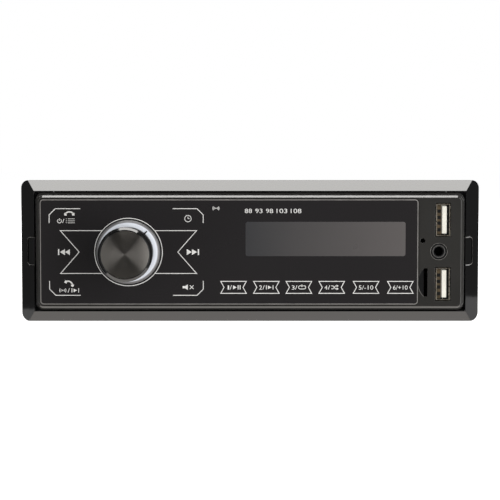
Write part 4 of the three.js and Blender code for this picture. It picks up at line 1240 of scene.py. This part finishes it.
def usb_contacts(place_name):
    """A near-black sheet of painted shade inside the shell, a brown spring plate beside the tongue, and four
    openings in it, painted near-black as shade.
    """
    shell_low, shell_high = (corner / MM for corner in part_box(f"usb_shell_{place_name}"))
    centre_x, centre_z = (shell_low.x + shell_high.x) / 2, (shell_low.z + shell_high.z) / 2
    wall, shade_sheet, depth = 0.36, 0.12, 9
    width, height = (shell_high - shell_low).x - 2 * wall, (shell_high - shell_low).z - 2 * wall
    front = shell_low.y + 0.35
    outer = rounded_outline(width, height, 0.15, centre_x, centre_z, 3)
    inner = rounded_outline(width - 2 * shade_sheet, height - 2 * shade_sheet, 0.1, centre_x, centre_z, 3)
    mesh = bmesh.new()
    rings = [
        [mesh.verts.new((x * MM, y * MM, z * MM)) for x, z in outline]
        for outline, y in ((outer, front + depth), (outer, front), (inner, front), (inner, front + depth))
    ]
    bridge_closed(mesh, rings)
    # The near-black sheet paints the shade inside the shell.
    name = f"usb_painted_shade_{place_name}"
    place(name, finish_mesh(name, mesh), "hole_black", "radio")
    plate_left = centre_x - width / 2 + shade_sheet
    plate_width = 1.75
    plate_x = plate_left + plate_width / 2
    plate_front = (shell_low.y + 1.1) * MM
    plate_back = plate_front + 5 * MM
    outline = rounded_outline(plate_width, height - 0.5, 0.2, plate_x, centre_z, 3)
    name = f"usb_spring_{place_name}"
    slab(name, outline, plate_back, plate_front, "spring_brown", "radio")
    # Near-black patches paint the shade inside the plate's openings.
    opening = 1.35
    opening_front = plate_front - 0.03 * MM
    opening_back = opening_front + 0.02 * MM
    for i, offset in enumerate((-4.0, -1.35, 0.95, 3.5), 1):
        outline = rounded_outline(opening, opening, 0.15, plate_x, centre_z + offset, 3)
        name = f"usb_opening_{place_name}_{i}"
        slab(name, outline, opening_back, opening_front, "hole_black", "radio")


for where in ("upper", "lower"):
    refined(f"usb_shell_{where}", "nickel_plate", 0.08, 40)
    refined(f"usb_tongue_{where}", "cream_plastic", 0.12, 40)
    usb_contacts(where)

refined("aux_jack", "black_plastic", 0.1, 46)


def socket_rings():
    """Two thin raised rims whose pale grey is a painted highlight: the jack's mouth, and the edge of the
    hole it sits in.
    """
    centre = middle_of("aux_jack")
    low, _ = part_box("aux_jack")
    for name, radius, y in (("mouth", 2.42, low.y / MM), ("hole", 3.38, HOUSING_FACE / MM)):
        section = ((-0.11, 0.05), (-0.05, -0.08), (0.05, -0.08), (0.11, 0.05))
        profile = [(radius + out, y + back) for out, back in section]
        axis = (centre.x, centre.z)
        turned(f"aux_rim_{name}", profile, 48, "scratched_edge", "radio", axis)


socket_rings()
refined("card_socket", "nickel_plate", 0.05, 40)


def card_scoop():
    """Painted shade on the bottom of the finger scoop, and a painted highlight along the edge of its curve.
    """
    low, high = (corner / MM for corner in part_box("card_socket"))
    x, z = (low.x + high.x) / 2, (low.z + high.z) / 2
    half, reach, depth, slot = 5.75, 2.5, 1.3, 1.4  # slot's half height, arc's reach and depth, slot's width
    radius = (half * half + reach * reach) / (2 * reach)
    edge = x - slot / 2
    centre = edge - reach + radius
    angle = math.degrees(math.asin(half / radius))
    curve = arc(centre, z, radius - 0.05, 180 - angle, 180 + angle, 32)
    # A near-black patch on the scoop's bottom: painted shade.
    art = Artwork(HOUSING_FACE + (depth - 0.03) * MM)
    art.polygon(curve)
    art.piece("card_scoop_painted_shade", "hole_black", "black_plastic")
    # A pale stroke along the curve: painted highlight.
    rim = Artwork(HOUSING_FACE - 0.03 * MM)
    rim.stroke(arc(centre, z, radius + 0.02, 182, 180 + angle * 0.97, 24), 0.24)
    rim.piece("card_scoop_painted_highlight", "scratched_edge", "nickel_plate")


card_scoop()

# ------------------------------------------------------------------ chassis and rear

ROUNDED = {
    "mounting_sleeve": ("galvanised_steel", 0.1),
    "chassis_tray": ("galvanised_steel", 0.1),
    "chassis_cover": ("galvanised_steel", 0.12),
    "heat_sink": ("anodised_aluminium", 0.15),
    "harness_socket": ("black_plastic", 0.15),
    "harness_pins": ("tin_plate", 0.1),
    "antenna_socket": ("nickel_plate", 0.15),
    "antenna_contact": ("cream_plastic", 0.1),
    "line_out_sockets": ("black_plastic", 0.15),
    "fuse_holder": ("black_plastic", 0.15),
    "blade_fuse": ("fuse_blue", 0.2),
    "rear_stud": ("zinc_screw", 0.12),
    "stud_bush": ("rubber_black", 0.2),
}
for screw in ("heat_sink_screw_1", "heat_sink_screw_2", "rear_cover_screw_1", "rear_cover_screw_2"):
    ROUNDED[screw] = ("zinc_screw", 0.06)
for side in ("left", "right"):
    ROUNDED[f"side_cover_screw_{side}"] = ("zinc_screw", 0.06)
for node, (look, width) in ROUNDED.items():
    refined(node, look, width, 42)

# ------------------------------------------------------------------ what keeps its CAD shape

CAD_NODES = {
    "lens_black": "touch_film",
    "black_plastic": (
        "knob_core encoder_body infrared_receiver card_carriage link_socket amplifier_chip "
        "processor_chip"
    ),
    "anodised_aluminium": "encoder_shaft",
    "cream_plastic": "encoder_rotor display_holder link_header",
    "nickel_plate": "encoder_push_dome",
    "display_gray": "display_glass",
    "milky_film": "display_backlight",
    "rubber_black": "microphone",
    "green_board": "card_board front_circuit_board main_circuit_board",
    "galvanised_steel": "front_bracket amplifier_clamp",
    "tin_plate": "tuner_can wireless_module",
    "can_sleeve": "supply_capacitor output_capacitor",
    "copper_wire": "supply_choke",
    "zinc_screw": "clamp_screw front_screw_left front_screw_right",
}
for look, nodes in CAD_NODES.items():
    for node in nodes.split():
        NODES[node].data.materials.clear()
        NODES[node].data.materials.append(LOOKS[look])

# ------------------------------------------------------------------ floor, background and lights

FLOOR_REACH = 6
FLOOR_GLOW = 0.92


def floor():
    low, _ = cad_box
    data = bpy.data.meshes.new("floor")
    corners = [(-1, -1), (1, -1), (1, 1), (-1, 1)]
    data.from_pydata([(x * FLOOR_REACH, y * FLOOR_REACH, 0) for x, y in corners], [], [(0, 1, 2, 3)])
    shader = Shader("floor", srgb(250, 250, 250), 0.9)
    shader.set("Emission Color", (1, 1, 1, 1))
    shader.set("Emission Strength", FLOOR_GLOW)
    data.materials.append(shader.material)
    piece = bpy.data.objects.new("floor", data)
    piece.location.z = low.z - 0.1 * MM
    bpy.context.scene.collection.objects.link(piece)
    piece.visible_glossy = False
    piece.visible_diffuse = False
    piece.visible_shadow = False


def background(glow):
    """White to the camera, and a dim even glow for everything else."""
    world = bpy.data.worlds.new("studio")
    bpy.context.scene.world = world
    world.use_nodes = True
    tree = world.node_tree
    tree.nodes.clear()
    path = tree.nodes.new("ShaderNodeLightPath")
    seen = tree.nodes.new("ShaderNodeBackground")
    lit = tree.nodes.new("ShaderNodeBackground")
    mix = tree.nodes.new("ShaderNodeMixShader")
    output = tree.nodes.new("ShaderNodeOutputWorld")
    seen.inputs["Color"].default_value = (1, 1, 1, 1)
    lit.inputs["Color"].default_value = (1, 1, 1, 1)
    lit.inputs["Strength"].default_value = glow
    tree.links.new(path.outputs["Is Camera Ray"], mix.inputs[0])
    tree.links.new(lit.outputs[0], mix.inputs[1])
    tree.links.new(seen.outputs[0], mix.inputs[2])
    tree.links.new(mix.outputs[0], output.inputs[0])


def softbox(name, place_at, aim, width, height, radiance, color=(1, 1, 1)):
    """A rectangular light of a given radiance, aimed at a point, unseen by the camera."""
    data = bpy.data.lights.new(name, "AREA")
    data.shape = "RECTANGLE"
    data.size = width
    data.size_y = height
    data.energy = radiance * math.pi * width * height
    data.color = color
    light = bpy.data.objects.new(name, data)
    light.location = place_at
    light.rotation_euler = (Vector(aim) - Vector(place_at)).to_track_quat("-Z", "Y").to_euler()
    light.visible_camera = False
    bpy.context.scene.collection.objects.link(light)


floor()
background(0.08)
softbox("overhead", (0, -0.072, 0.55), (0, -0.072, 0), 0.46, 0.17, 8.5, (1, 0.985, 0.96))
softbox("below", (0, -0.03, -0.25), (0, -0.03, 0), 0.6, 0.2, 1.75, (1, 0.95, 0.905))
softbox("left", (-0.97, -0.44, 0), (0, 0, 0), 0.4, 1.8, 2.2)
softbox("right", (0.8, -0.72, 0), (0, 0, 0), 0.4, 1.9, 4.8)
softbox("right_side", (1.0, -0.36, 0), (0, 0, 0), 0.3, 1.2, 3)
softbox("left_low", (-0.55, 0.19, -0.102), (-0.09, 0, -0.03), 0.3, 0.06, 0.5)
softbox("right_low", (0.55, 0.19, -0.093), (0.09, 0, -0.024), 0.3, 0.06, 0.5)
softbox("rear", (-0.5, 1.0, 0.7), (0, 0.03, 0), 0.9, 0.6, 4)
softbox("rear_right", (0.9, 0.7, 0.35), (0, 0.03, 0), 0.5, 0.7, 3)
softbox("rear_right_low", (0.72, 0.7, -0.42), (0, 0.03, 0), 0.6, 0.5, 3)
